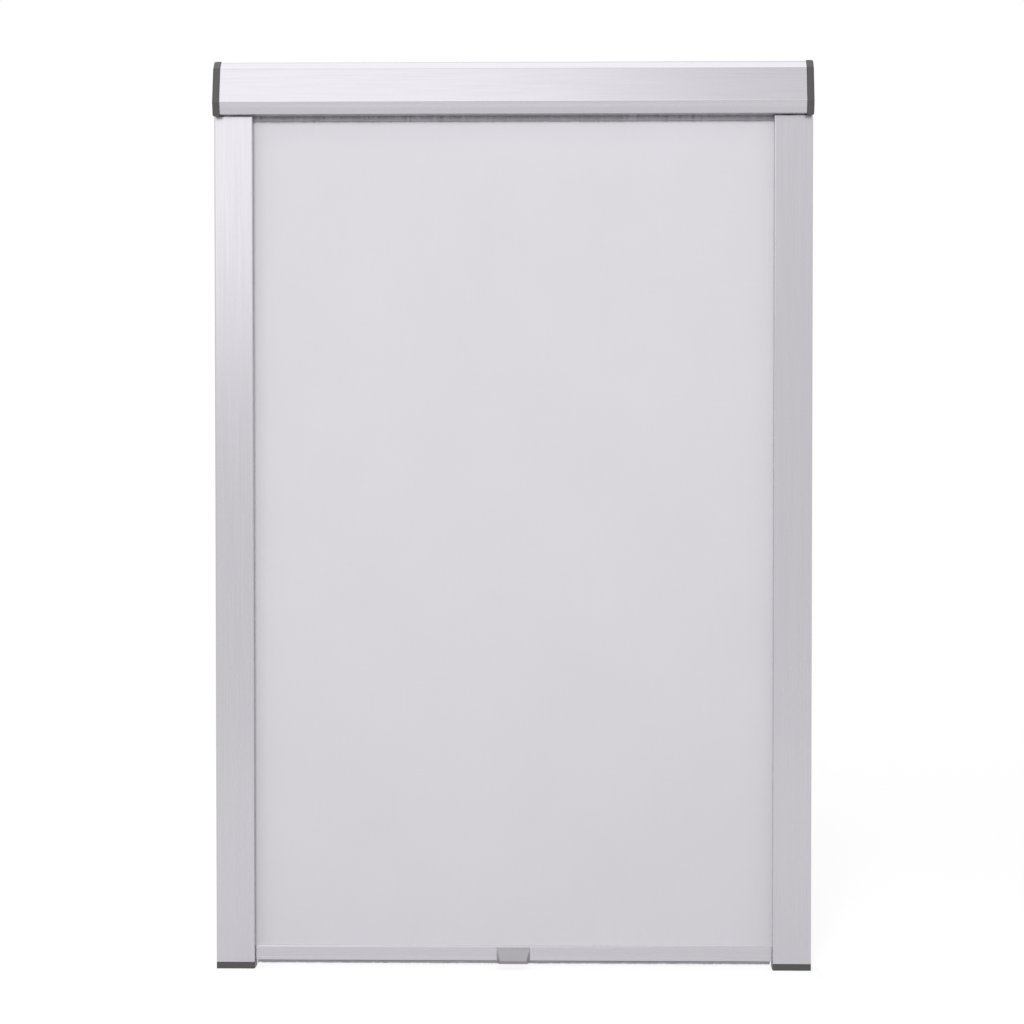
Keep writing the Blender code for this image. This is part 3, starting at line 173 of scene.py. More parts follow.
def anodised_aluminium(name, colour, roughness, line):
    """Extruded aluminium, etched to a satin and anodised clear.

    It gives the eye a soft silvery sheen without sharp reflections, with the faint straight die lines of
    the extrusion along its length. The real lines are 0.05 to 0.3 mm wide, which is too fine to show, so
    they are drawn 1.4 mm wide: long ones in the colour, and shorter ones in the shine and the relief. line
    is the size in millimetres of one long streak along each axis.
    """
    made, tree, shader = finish_named(name)
    place = add(tree, "ShaderNodeTexCoord").outputs["Object"]
    broad = streaks(tree, place, line, 2, 0.6)
    # 220 mm long becomes 78.8 mm, and 1.4 mm wide stays
    fine = streaks(tree, place, [min(size, size * 0.29 + 15) for size in line], 1)
    # Etch grain 0.1 mm across on the real metal, drawn 0.5 mm across
    grain = spots(tree, place, 0.5)
    ridges = relief(tree, fine, 0.25, 0.02)
    look = {
        "Metallic": 1,
        "Base Color": shades(tree, broad, colour, (0.965, 0.965, 0.97), (1.03, 1.03, 1.03)),
        "Roughness": spread(tree, fine, 0.3, 0.7, roughness - 0.03, roughness + 0.04),
        "Normal": relief(tree, grain, 0.3, 0.015, Normal=ridges),
    }
    feed(tree, shader, look)
    return made


def moulded_plastic(name, colour, roughness, grit, variation, depth):
    """Injection-moulded plastic from a textured tool.

    It gives the eye an even colour with a fine dull grain and slightly shinier patches. grit is the size
    of the grain in millimetres.
    """
    made, tree, shader = finish_named(name)
    place = add(tree, "ShaderNodeTexCoord").outputs["Object"]
    grain = spots(tree, place, grit, 3, Roughness=0.6)
    # Flow marks of the mould, 25 mm across
    flow = spots(tree, place, 25, Distortion=0.6)
    look = {
        "IOR": 1.5,
        "Base Color": shades(tree, flow, colour, [1 - variation] * 3, [1 + variation] * 3),
        "Roughness": spread(tree, grain, 0.25, 0.75, roughness - 0.05, roughness + 0.07),
        "Normal": relief(tree, grain, 0.5, depth),
    }
    feed(tree, shader, look)
    return made


def plated_steel(name, colour, roughness, spangle, depth):
    """Steel strip or wire with a bright zinc or oil-blued skin.

    It gives the eye a cool grey metal whose shine is broken up by small cloudy patches. spangle is the
    size of one patch in millimetres.
    """
    made, tree, shader = finish_named(name)
    place = add(tree, "ShaderNodeTexCoord").outputs["Object"]
    patches = spots(tree, place, spangle, 3, Roughness=0.55)
    scratches = spots(tree, place, 0.4)
    look = {
        "Metallic": 1,
        "Base Color": shades(tree, patches, colour, (0.86, 0.87, 0.9), (1.1, 1.1, 1.08)),
        "Roughness": spread(tree, patches, 0.3, 0.7, roughness - 0.08, roughness + 0.1),
        "Normal": relief(tree, scratches, 0.3, depth),
    }
    feed(tree, shader, look)
    return made


def coated_blackout_cloth(name, colour):
    """Polyester plain weave with a flexible foam coating that stops the light.

    It gives the eye a smooth, matt, slightly cool off-white. The threads are 0.3 mm apart, which is too
    fine to show, so the weave is drawn as very faint waves 5.7 mm apart, and uneven threads show as soft
    slubs along both directions. The pattern follows the cloth's own map, which is in metres.
    """
    made, tree, shader = finish_named(name)
    place = add(tree, "ShaderNodeUVMap", uv_map="cloth").outputs[0]
    threads = []
    for turn in (0, 90):
        turned = add(tree, "ShaderNodeMapping", {"Vector": place, "Rotation": (0, 0, math.radians(turn))})
        # Bands repeat every pi / 10 / Scale metres
        bands = {"Vector": turned.outputs[0], "Scale": 500 / 9, "Distortion": 0.4}
        bands |= {"Detail": 1, "Detail Scale": 2}
        threads.append(add(tree, "ShaderNodeTexWave", bands).outputs[0])
    weave = maths(tree, "MAXIMUM", *threads)
    # Slubs 1.5 mm wide and 60 mm long, one set for each direction of thread
    slubs = maths(tree, "ADD", *[streaks(tree, place, line) for line in ((60, 1.5, 1), (1.5, 60, 1))])
    # Coating laid on a little unevenly, in clouds 120 mm across
    uneven = maths(tree, "MULTIPLY_ADD", slubs, 0.5, spots(tree, place, 120))
    share = spread(tree, uneven, 0.6, 1.4, 0, 1)
    look = {
        "Base Color": shades(tree, share, colour, (0.975, 0.972, 0.972), (1.012, 1.01, 1.012)),
        "Normal": relief(tree, maths(tree, "MULTIPLY_ADD", slubs, 0.4, weave), 0.2, 0.03),
        "Roughness": 0.85,
        "Specular IOR Level": 0.25,
        "Sheen Weight": 0.08,
        "Sheen Roughness": 0.5,
    }
    feed(tree, shader, look)
    return made


def pile_fibre(name, colour):
    """Crimped polypropylene pile.

    It gives the eye a dull light grey that is uneven from tuft to tuft, 0.7 mm across.
    """
    made, tree, shader = finish_named(name)
    place = add(tree, "ShaderNodeTexCoord").outputs["Object"]
    look = {
        "Base Color": shades(tree, spots(tree, place, 0.7), colour, [0.6] * 3, [1.35] * 3),
        "Roughness": 0.95,
        "Specular IOR Level": 0.2,
        "Sheen Weight": 0.2,
    }
    feed(tree, shader, look)
    return made


COVER_METAL = anodised_aluminium("anodised_aluminium_along_x", "c1bfc4", 0.24, (220, 1.4, 1.4))
RAIL_METAL = anodised_aluminium("anodised_aluminium_along_z", "c1bfc4", 0.24, (1.4, 1.4, 220))
# Fine matt ABS, spark-eroded tool: grit 0.15 mm, drawn 0.6 mm
DARK_PLASTIC = moulded_plastic("dark_grey_abs", "4d4b4c", 0.42, 0.6, 0.04, 0.03)
# Satin polypropylene of the grip: finer tool, drawn 0.5 mm
GRIP_PLASTIC = moulded_plastic("mid_grey_polypropylene", "aeaab0", 0.42, 0.5, 0.02, 0.015)
# Natural acetal: smooth, waxy and off-white
SHOE_PLASTIC = moulded_plastic("natural_white_acetal", "e8e6e2", 0.36, 0.8, 0.015, 0.008)
CLOTH = coated_blackout_cloth("coated_blackout_polyester", "dddbe0")
PILE = pile_fibre("grey_polypropylene_pile", "b6b4b8")
ZINC = plated_steel("zinc_plated_steel", "b4b6b8", 0.34, 2.5, 0.01)
SPRING_STEEL = plated_steel("oiled_spring_steel", "6f7174", 0.38, 1.2, 0.012)


def new_piece(name, mesh, material):
    """A new object in the scene, of one material."""
    made = bpy.data.objects.new(name, mesh)
    mesh.materials.clear()
    mesh.materials.append(material)
    bpy.context.scene.collection.objects.link(made)
    return made


def baked(made):
    """Replaces a piece's mesh by what its modifiers make of it, and removes them."""
    bpy.context.view_layer.update()
    graph = bpy.context.evaluated_depsgraph_get()
    mesh = bpy.data.meshes.new_from_object(made.evaluated_get(graph))
    material = made.data.materials[0]
    made.modifiers.clear()
    made.data = mesh
    mesh.materials.clear()
    mesh.materials.append(material)
    mesh.polygons.foreach_set("material_index", [0] * len(mesh.polygons))
    return made


def crisp(mesh, angle=30):
    """Smooth shading, apart from edges that bend by more than the angle."""
    mesh.shade_smooth()
    mesh.set_sharp_from_angle(angle=math.radians(angle))


def softened(made, width, segments=2, angle=35):
    """Breaks a piece's sharp edges with a small bevel, and keeps the shading of its flat faces flat."""
    bevel = made.modifiers.new("edges", "BEVEL")
    bevel.width = width
    bevel.segments = segments
    bevel.limit_method = "ANGLE"
    bevel.angle_limit = math.radians(angle)
    bevel.use_clamp_overlap = True
    baked(made)
    crisp(made.data, 32)
    flats = made.modifiers.new("flats", "WEIGHTED_NORMAL")
    flats.mode = "FACE_AREA"
    flats.weight = 100
    flats.keep_sharp = True
    return baked(made)


def carried(made, body, *nodes):
    """Says what a finished piece moves with and what it stands for: it hangs on that body and hides those
    nodes.
    """
    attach(made, body)
    if nodes:
        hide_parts(*nodes)
    return made


def rounded(corners, steps=8):
    """A line through (u, v, radius) corners. A corner with a radius becomes an arc."""
    line = []
    for index, (u, v, radius) in enumerate(corners):
        corner = Vector((u, v))
        if radius == 0:
            line.append(corner)
            continue
        back = (Vector(corners[index - 1][:2]) - corner).normalized()
        ahead = (Vector(corners[(index + 1) % len(corners)][:2]) - corner).normalized()
        half = back.angle(ahead) / 2
        centre = corner + (back + ahead).normalized() * (radius / math.sin(half))
        start = corner + back * (radius / math.tan(half)) - centre
        end = corner + ahead * (radius / math.tan(half)) - centre
        first = math.atan2(start.y, start.x)
        sweep = (math.atan2(end.y, end.x) - first + math.pi) % (2 * math.pi) - math.pi
        for step in range(steps + 1):
            angle = first + sweep * step / steps
            line.append(centre + radius * Vector((math.cos(angle), math.sin(angle))))
    return line


def eased(radius, *places):
    """Corners that share one radius."""
    return [(u, v, radius) for u, v in places]


def ring(radius, y, z, steps=40):
    """A circle as an outline."""
    turns = [2 * math.pi * step / steps for step in range(steps)]
    return [Vector((y + radius * math.cos(turn), z + radius * math.sin(turn))) for turn in turns]


def drawn_out(name, sections, low, high, plane, material, edge=0.12 * MM, ends=None):
    """An extrusion: each section is an outline with its hollows, run from low to high square to its plane.

    ends gives sections their own low and high.
    """
    vertices, faces = [], []
    for loops, (low, high) in zip(sections, ends or [(low, high)] * len(sections)):
        flat = [point for loop in loops for point in loop]
        first, count = len(vertices), len(flat)
        vertices += [(point.x, point.y, along) for along in (low, high) for point in flat]
        start = first
        for loop in loops:
            for step in range(len(loop)):
                a, b = start + step, start + (step + 1) % len(loop)
                faces.append((a, b, b + count, a + count))
            start += len(loop)
        for corners in tessellate_polygon([[(point.x, point.y, 0) for point in loop] for loop in loops]):
            faces.append([first + corner for corner in corners])
            faces.append([first + count + corner for corner in reversed(corners)])
    mesh = bpy.data.meshes.new(name)
    mesh.from_pydata(vertices, [], faces)
    mesh.transform(plane)
    work = bmesh.new()
    work.from_mesh(mesh)
    bmesh.ops.recalc_face_normals(work, faces=work.faces)
    work.to_mesh(mesh)
    work.free()
    crisp(mesh)
    made = new_piece(name, mesh, material)
    return softened(made, edge) if edge else made


def cut(made, work):
    """Cuts a working mesh's shape out of a piece."""
    shape = bpy.data.meshes.new("cutter")
    work.to_mesh(shape)
    work.free()
    cutter = new_piece("cutter", shape, made.data.materials[0])
    hole = made.modifiers.new("hole", "BOOLEAN")
    hole.operation, hole.solver, hole.object = "DIFFERENCE", "EXACT", cutter
    baked(made)
    bpy.data.objects.remove(cutter)


def merged_copy(node, name, material, edge, segments):
    """A CAD node's own shape as one welded mesh with its sharp edges broken."""
    mesh = NODES[node].data.copy()
    mesh.name = name
    work = bmesh.new()
    work.from_mesh(mesh)
    bmesh.ops.remove_doubles(work, verts=work.verts, dist=0.002 * MM)
    bmesh.ops.dissolve_degenerate(work, edges=work.edges, dist=0.005 * MM)
    bmesh.ops.dissolve_limit(work, angle_limit=math.radians(0.8), verts=work.verts, edges=work.edges)
    bmesh.ops.recalc_face_normals(work, faces=work.faces)
    work.to_mesh(mesh)
    work.free()
    crisp(mesh, 32)
    return softened(new_piece(name, mesh, material), edge, segments)


def set_camera():
    """The photograph's view: 3 m away, a little right of the middle and below it, from a long lens."""
    data = bpy.data.cameras.new("camera")
    data.sensor_width = 36
    data.lens = 102.08
    camera = bpy.data.objects.new("camera", data)
    yaw, pitch, roll = (math.radians(turn) for turn in (-1.33, -1.576, -0.011))
    forward = Vector((math.sin(yaw) * math.cos(pitch), math.cos(yaw) * math.cos(pitch), math.sin(pitch)))
    level = Vector((math.cos(yaw), -math.sin(yaw), 0))
    upright = level.cross(forward)
    right = math.cos(roll) * level + math.sin(roll) * upright
    up = right.cross(forward)
    turn = Matrix((right, up, -forward)).transposed().to_4x4()
    camera.matrix_world = Matrix.Translation((0.067985, -3, -0.350915)) @ turn
    bpy.context.scene.collection.objects.link(camera)
    bpy.context.scene.camera = camera


def seen_directly(tree):
    """One for rays from the camera, from glossy surfaces and through clear ones, and zero for the rest."""
    path = add(tree, "ShaderNodeLightPath").outputs
    some = maths(tree, "ADD", path["Is Camera Ray"], path["Is Glossy Ray"])
    return maths(tree, "ADD", some, path["Is Transmission Ray"], use_clamp=True)


def set_world(fill):
    """White seen directly, and an even soft fill on the object."""
    world = bpy.data.worlds.new("studio")
    world.use_nodes = True
    bpy.context.scene.world = world
    tree = world.node_tree
    tree.nodes.clear()
    soft = add(tree, "ShaderNodeBackground", {"Color": (1, 1, 1, 1), "Strength": fill})
    white = add(tree, "ShaderNodeBackground", {"Color": (1, 1, 1, 1), "Strength": 1})
    shares = {0: seen_directly(tree), 1: soft.outputs[0], 2: white.outputs[0]}
    mixed = add(tree, "ShaderNodeMixShader", shares)
    add(tree, "ShaderNodeOutputWorld", {"Surface": mixed.outputs[0]})


def add_lamp(name, turn, rise, reach, size, power, glossy=True):
    """A round soft lamp aimed at the blind.

    turn is degrees to the left of the front and rise degrees up, reach and size are metres, power is watts.
    """
    aim = Vector((0, 0, -0.3))
    turn, rise = math.radians(turn), math.radians(rise)
    arm = Vector((-math.sin(turn) * math.cos(rise), -math.cos(turn) * math.cos(rise), math.sin(rise)))
    data = bpy.data.lights.new(name, "AREA")
    data.shape = "DISK"
    data.size = size
    data.energy = power
    lamp = bpy.data.objects.new(name, data)
    lamp.location = aim + reach * arm
    lamp.rotation_mode = "QUATERNION"
    lamp.rotation_quaternion = (-arm).to_track_quat("-Z", "Y")
    lamp.visible_camera = False
    lamp.visible_glossy = glossy
    bpy.context.scene.collection.objects.link(lamp)


def add_floor():
    """A pale round floor under the feet, white to the camera apart from the shadow, open from below."""
    mesh = bpy.data.meshes.new("floor")
    work = bmesh.new()
    bmesh.ops.create_circle(work, cap_ends=True, radius=2.6, segments=96)
    bmesh.ops.transform(work, matrix=Matrix.Translation((0, 0, FLOOR_Z)), verts=work.verts)
    work.to_mesh(mesh)
    work.free()
    made, tree, shader = finish_named("pale_studio_floor")
    tree.nodes.remove(shader)
    place = add(tree, "ShaderNodeTexCoord").outputs["Object"]
    flat = add(tree, "ShaderNodeVectorMath", {0: place, 1: (1, 1, 0)}, operation="MULTIPLY")
    radius = add(tree, "ShaderNodeVectorMath", {0: flat.outputs[0]}, operation="LENGTH").outputs["Value"]
    # The floor is whole within 0.8 m of the middle and has faded out at 2.4 m
    ends = {0: radius, 1: 0.8, 2: 2.4, 3: 0, 4: 1}
    fade = add(tree, "ShaderNodeMapRange", ends, interpolation_type="SMOOTHSTEP").outputs[0]
    paint = add(tree, "ShaderNodeBsdfDiffuse", {"Color": linear("adadad")})
    lift = maths(tree, "MULTIPLY", seen_directly(tree), 0.74)
    glow = add(tree, "ShaderNodeEmission", {"Color": (1, 1, 1, 1), "Strength": lift})
    lit = add(tree, "ShaderNodeAddShader", {0: paint.outputs[0], 1: glow.outputs[0]})
    back = add(tree, "ShaderNodeNewGeometry").outputs["Backfacing"]
    clear = add(tree, "ShaderNodeBsdfTransparent")
    shares = {0: maths(tree, "MAXIMUM", fade, back), 1: lit.outputs[0], 2: clear.outputs[0]}
    mixed = add(tree, "ShaderNodeMixShader", shares)
    tree.links.new(mixed.outputs[0], tree.nodes["Material Output"].inputs["Surface"])
    new_piece("floor", mesh, made)


bpy.context.scene.view_settings.view_transform = "Standard"
set_camera()
set_world(0.25)
# The softbox in front gives the metal its highlights and the overhead one lights the sloping edges. The
# rest light only what is matt.
add_lamp("softbox", 18, 27, 2.6, 2.4, 10)
add_lamp("overhead", 125, 78, 2.2, 2.4, 9.6)
add_lamp("matt_front", 0, 5, 3.2, 0.8, 20, glossy=False)
add_lamp("matt_high", 2, 13, 3.2, 0.8, 43, glossy=False)
add_lamp("matt_rear", 160, 20, 3.2, 2.0, 30, glossy=False)
add_floor()


def moved_sides(corners, reach):
    """Corners of an outline whose sides have each moved outwards by their own reach."""
    moved = []
    for index, corner in enumerate(corners):
        back = (corner - corners[index - 1]).normalized()
        ahead = (corners[(index + 1) % len(corners)] - corner).normalized()
        back_normal, ahead_normal = Vector((-back.y, back.x)), Vector((-ahead.y, ahead.x))
        shared = back_normal.dot(ahead_normal)
        back_share = (reach[index - 1] - reach[index] * shared) / (1 - shared**2)
        ahead_share = (reach[index] - reach[index - 1] * shared) / (1 - shared**2)
        moved.append(corner + back_share * back_normal + ahead_share * ahead_normal)
    return moved


def cove_points(steps=20):
    """The hollow under the front face: it turns in sharply at first and runs down almost upright."""
    _, lip, face_foot, _, _, _ = SECTION
    turn_in, turn_out = math.radians(54), math.radians(8)
    first = face_foot + 2.2 * MM * Vector((math.sin(turn_in), -math.cos(turn_in)))
    last = lip - 5 * MM * Vector((math.sin(turn_out), -math.cos(turn_out)))
    points = []
    for step in range(1, steps):
        t = step / steps
        s = 1 - t
        points.append(s**3 * face_foot + 3 * s * s * t * first + 3 * s * t * t * last + t**3 * lip)
    return points


def channel_places():
    """(y, z) of the screw channels: two in the cover's corners and one on the back plate."""
    inset = 4.2 * MM
    reach = [-inset] * 6
    reach[1] -= COVE_DEPTH
    _, lip, _, _, top, _ = moved_sides(SECTION, reach)
    return [top, lip, Vector((-4.5 * MM, 21.4 * MM))]


def build_cover():
    """Bent front, top and floor of the cassette, with its cove, a lip and two screw channels.

    The floor runs on to the back here. The frame's own ends 10 mm further forward, at the fabric's slot.
    """
    low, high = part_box("cassette_cover")
    _, lip, face_foot, face_head, top, _ = SECTION
    outer_line = [
        (COVER_REAR, COVER_TOP, 0),
        (*top, TOP_BEND),
        (*face_head, BEND),
        (*face_foot, NOSE),
        *[(*point, 0) for point in cove_points()[4:]],
        (*lip, BEND / 2),
        (COVER_REAR, -COVER_TOP, BEND / 2),
        (COVER_REAR, -COVER_TOP + FLOOR_LIP, 0),
    ]
    reach = [-COVER_WALL] * 6
    reach[1] -= COVE_DEPTH
    _, lip, face_foot, face_head, top, _ = moved_sides(SECTION, reach)
    bend = BEND - COVER_WALL
    inner_line = [
        (COVER_REAR - COVER_WALL, -COVER_TOP + FLOOR_LIP, 0),
        (COVER_REAR - COVER_WALL, -COVER_TOP + COVER_WALL, 0),
        (*lip, bend),
        (*face_foot, bend),
        (*face_head, bend),
        (*top, TOP_BEND - COVER_WALL),
        (COVER_REAR, COVER_TOP - COVER_WALL, 0),
    ]
    sections = [[rounded(outer_line + inner_line)]]
    for y, z in channel_places()[:2]:
        sections.append([ring(CHANNEL_RADIUS, y, z), ring(CHANNEL_BORE, y, z)])
    cover = drawn_out("cassette_cover_shell", sections, low.x, high.x, ALONG_X, COVER_METAL, 0.15 * MM)
    carried(cover, "frame", "cassette_cover")


def build_back_plate():
    """The cassette's back, with the tongue that the cover hooks on, its foot and a screw channel."""
    low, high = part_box("cassette_back_plate")
    tongue_top, tongue_front = COVER_TOP - COVER_WALL - 0.3 * MM, -7 * MM
    foot_top, foot_front = -COVER_TOP + COVER_WALL, -4 * MM
    outline = rounded(
        [
            *eased(0.3 * MM, (0, -COVER_TOP), (0, COVER_TOP)),
            (-BACK_WALL, COVER_TOP, 0.2 * MM),
            (-BACK_WALL, tongue_top, 0),
            *eased(0.3 * MM, (tongue_front, tongue_top), (tongue_front, tongue_top - COVER_WALL)),
            (-BACK_WALL, tongue_top - COVER_WALL, 0),
            (-BACK_WALL, foot_top, 0.4 * MM),
            *eased(0.3 * MM, (foot_front, foot_top), (foot_front, -COVER_TOP)),
        ],
        4,
    )
    y, z = channel_places()[2]
    sections = [[outline], [ring(CHANNEL_RADIUS, y, z), ring(CHANNEL_BORE, y, z)]]
    plate = drawn_out("cassette_back", sections, low.x, high.x, ALONG_X, COVER_METAL, 0.12 * MM)
    carried(plate, "frame", "cassette_back_plate")


build_cover()
build_back_plate()


def build_rail(side):
    """A side rail: front face with a folded inner edge, web, fin and rear flange, and three screw holes."""
    node = f"side_rail_{side}"
    low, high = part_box(node)
    web, front = RAIL_OUTER - RAIL_WALL, -RAIL_DEPTH
    fin_rear, fin_front, fin_edge = -12 * MM, -13.4 * MM, 276 * MM
    fold_foot, fold_inner, flange_edge = front + 4 * MM, RAIL_INNER + RAIL_WALL, 280 * MM
    corners = [
        (RAIL_OUTER, 0, 0.3 * MM),
        *eased(1.3 * MM, (RAIL_OUTER, front), (RAIL_INNER, front)),
        *eased(0.3 * MM, (RAIL_INNER, fold_foot), (fold_inner, fold_foot), (fold_inner, front + RAIL_WALL)),
        *eased(0.3 * MM, (web, front + RAIL_WALL), (web, fin_front), (fin_edge, fin_front)),
        *eased(0.3 * MM, (fin_edge, fin_rear), (web, fin_rear), (web, -RAIL_WALL)),
        *eased(0.3 * MM, (flange_edge, -RAIL_WALL), (flange_edge, 0)),
    ]
    rail = drawn_out(f"rail_{side}", [[rounded(corners, 5)]], low.z, high.z, ALONG_Z, RAIL_METAL, 0)
    hole_y, hole_radius, from_end = -19 * MM, 2.2 * MM, 90 * MM
    for z in (low.z + from_end, (low.z + high.z) / 2, high.z - from_end):
        work = bmesh.new()
        size = {"radius1": hole_radius, "radius2": hole_radius, "depth": 8 * MM}
        bmesh.ops.create_cone(work, cap_ends=True, segments=32, **size)
        turn = Matrix.Translation((RAIL_OUTER, hole_y, z)) @ Matrix.Rotation(math.radians(90), 4, "Y")
        bmesh.ops.transform(work, matrix=turn, verts=work.verts)
        cut(rail, work)
    if side == "left":
        rail.data.transform(MIRROR)
        rail.data.flip_normals()
    carried(softened(rail, 0.12 * MM), "frame", node)


for side in ("left", "right"):
    build_rail(side)


def node_group(name, output, inputs):
    """A Geometry Nodes group with named inputs, and the sockets that bring them in."""
    tree = bpy.data.node_groups.new(name, "GeometryNodeTree")
    for socket, kind in inputs.items():
        tree.interface.new_socket(socket, in_out="INPUT", socket_type="NodeSocket" + kind)
    tree.interface.new_socket(output, in_out="OUTPUT", socket_type="NodeSocketGeometry")
    return tree, add(tree, "NodeGroupInput").outputs


def hand_out(tree, shape, material):
    """Ends a group: its shape is made real and takes its material."""
    real = add(tree, "GeometryNodeRealizeInstances", {0: shape})
    coloured = add(tree, "GeometryNodeSetMaterial", {"Geometry": real.outputs[0], "Material": material})
    add(tree, "NodeGroupOutput", {0: coloured.outputs[0]})
    return tree


def pile_tree():
    """Geometry Nodes: tapered fibres at random over a strip, square to it, each leaning a little."""
    inputs = {
        "Strip": "Geometry",
        "Fibre Length": "Float",
        "Shortest Share": "Float",
        "Fibre Radius": "Float",
        "Fibres Per Square Metre": "Float",
        "Lean": "Float",
        "Seed": "Int",
        "Material": "Material",
    }
    tree, given = node_group("pile_fibres", "Pile", inputs)
    fibre = add(
        tree,
        "GeometryNodeMeshCone",
        {
            "Vertices": 5,
            "Side Segments": 1,
            "Radius Top": maths(tree, "MULTIPLY", given["Fibre Radius"], 0.45),
            "Radius Bottom": given["Fibre Radius"],
            "Depth": given["Fibre Length"],
        },
        fill_type="NGON",
    )
    points = add(
        tree,
        "GeometryNodeDistributePointsOnFaces",
        {"Mesh": given["Strip"], "Density": given["Fibres Per Square Metre"], "Seed": given["Seed"]},
        distribute_method="RANDOM",
    )
    back_lean = maths(tree, "MULTIPLY", given["Lean"], -1)
    # A fibre may be turned on itself by up to about half a turn either way
    twist = 3.1
    least = add(tree, "ShaderNodeCombineXYZ", {0: back_lean, 1: back_lean, 2: -twist})
    most = add(tree, "ShaderNodeCombineXYZ", {0: given["Lean"], 1: given["Lean"], 2: twist})
    lean = add(
        tree,
        "FunctionNodeRandomValue",
        {0: least.outputs[0], 1: most.outputs[0], "Seed": given["Seed"]},
        data_type="FLOAT_VECTOR",
    )
    shares = {2: given["Shortest Share"], 3: 1.0, "Seed": 7}
    height = add(tree, "FunctionNodeRandomValue", shares, data_type="FLOAT")
    size = add(tree, "ShaderNodeCombineXYZ", {0: 1, 1: 1, 2: height.outputs[1]})
    placed = add(
        tree,
        "GeometryNodeInstanceOnPoints",
        {
            "Points": points.outputs["Points"],
            "Instance": fibre.outputs["Mesh"],
            "Rotation": points.outputs["Rotation"],
            "Scale": size.outputs[0],
        },
    )
    turns = {"Instances": placed.outputs[0], "Rotation": lean.outputs[0]}
    leaning = add(tree, "GeometryNodeRotateInstances", turns)
    return hand_out(tree, leaning.outputs[0], given["Material"])


PILE_TREE = pile_tree()


def grown(tree, made, values):
    """Runs a Geometry Nodes tree on a piece with its named inputs, and keeps the plain mesh."""
    sockets = {item.name: item.identifier for item in tree.interface.items_tree if item.in_out == "INPUT"}
    modifier = made.modifiers.new(tree.name, "NODES")
    modifier.node_group = tree
    for name, value in values.items():
        modifier[sockets[name]] = value
    return baked(made)


def pile_strip(name, corners, length, density, seed, radius=0.17 * MM, lean=0.16, shortest=0.82):
    """Fibres that stand on a flat strip, whose corners run anticlockwise seen from the fibres' tips.

    density is in fibres per square metre, lean in radians, and shortest a share of the full length.
    """
    mesh = bpy.data.meshes.new(name)
    mesh.from_pydata(corners, [], [(0, 1, 2, 3)])
    made = new_piece(name, mesh, PILE)
    grown(
        PILE_TREE,
        made,
        {
            "Fibre Length": length,
            "Shortest Share": shortest,
            "Fibre Radius": radius,
            "Fibres Per Square Metre": density,
            "Lean": lean,
            "Seed": seed,
            "Material": PILE,
        },
    )
    made.data.shade_smooth()
    return made


def hanging_strip(low, high, rear, front, z):
    """Corners of a level strip that fibres hang from."""
    return [(low.x, rear, z), (high.x, rear, z), (high.x, front, z), (low.x, front, z)]


def build_slot_pile():
    """The seal that hangs from the cassette's slot in front of the fabric: backing, core and fibres."""
    low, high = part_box("slot_pile")
    foot = -COVER_TOP + 0.3 * MM
    front, rear = low.y + 0.4 * MM, high.y - 0.4 * MM
    corners = hanging_strip(low, high, rear, front, foot)
    fibres = pile_strip("slot_pile_fibres", corners, foot - low.z, 2.6e6, 3, lean=0.1, shortest=0.72)
    carried(fibres, "frame", "slot_pile")
    middle = (front + rear) / 2
    backing = eased(0.3 * MM, (low.y, foot), (low.y, high.z), (high.y, high.z), (high.y, foot))
    core_foot, core_head = low.z + 1.4 * MM, foot + 0.5 * MM
    core = [
        *eased(0, (middle - 0.7 * MM, core_head), (middle + 0.7 * MM, core_head)),
        *eased(0.3 * MM, (middle + 0.5 * MM, core_foot), (middle - 0.5 * MM, core_foot)),
    ]
    sections = [[rounded(backing, 3)], [rounded(core, 3)]]
    carried(drawn_out("slot_pile_backing", sections, low.x, high.x, ALONG_X, PILE, 0), "frame")


def build_rail_pile(side):
    """The seal in a rail that brushes the front of the fabric's edge."""
    node = f"rail_pile_{side}"
    low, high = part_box(node)
    middle, half = (low.x + high.x) / 2, 1.3 * MM
    step = low.y + 0.8 * MM
    corners = [
        (middle - half, step, low.z),
        (middle - half, step, high.z),
        (middle + half, step, high.z),
        (middle + half, step, low.z),
    ]
    fibres = pile_strip(f"rail_pile_fibres_{side}", corners, high.y - step, 1.9e6, 11)
    carried(fibres, "frame", node)
    base = rounded(eased(0.2 * MM, (low.x, low.y), (high.x, low.y), (high.x, step), (low.x, step)), 3)
    carried(drawn_out(f"rail_pile_backing_{side}", [[base]], low.z, high.z, ALONG_Z, PILE, 0), "frame")


def build_bar_pile():
    """The brush under the bottom bar: its base in the bar's pocket, a core and the fibres."""
    low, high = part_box("bar_pile_seal")
    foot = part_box("bottom_bar")[0].z
    middle, half, root = SEAL_Y, 1.5 * MM, foot - 0.3 * MM
    corners = hanging_strip(low, high, middle + half, middle - half, root)
    look = {"radius": 0.15 * MM, "lean": 0.2, "shortest": 0.6}
    fibres = pile_strip("bar_pile_fibres", corners, root - low.z, 5e6, 5, **look)
    carried(fibres, "bar", "bar_pile_seal")
    neck_top, core_foot = foot + 1.6 * MM, low.z + 1.6 * MM
    base, neck, tip = 2.1 * MM, 0.7 * MM, 0.6 * MM
    corners = [
        *eased(0.2 * MM, (middle - base, high.z), (middle - base, neck_top)),
        (middle - neck, neck_top, 0),
        *eased(0.3 * MM, (middle - tip, core_foot), (middle + tip, core_foot)),
        (middle + neck, neck_top, 0),
        *eased(0.2 * MM, (middle + base, neck_top), (middle + base, high.z)),
    ]
    section = rounded(corners, 3)
    carried(drawn_out("bar_pile_backing", [[section]], low.x, high.x, ALONG_X, PILE, 0), "bar")


build_slot_pile()
for side in ("left", "right"):
    build_rail_pile(side)
build_bar_pile()


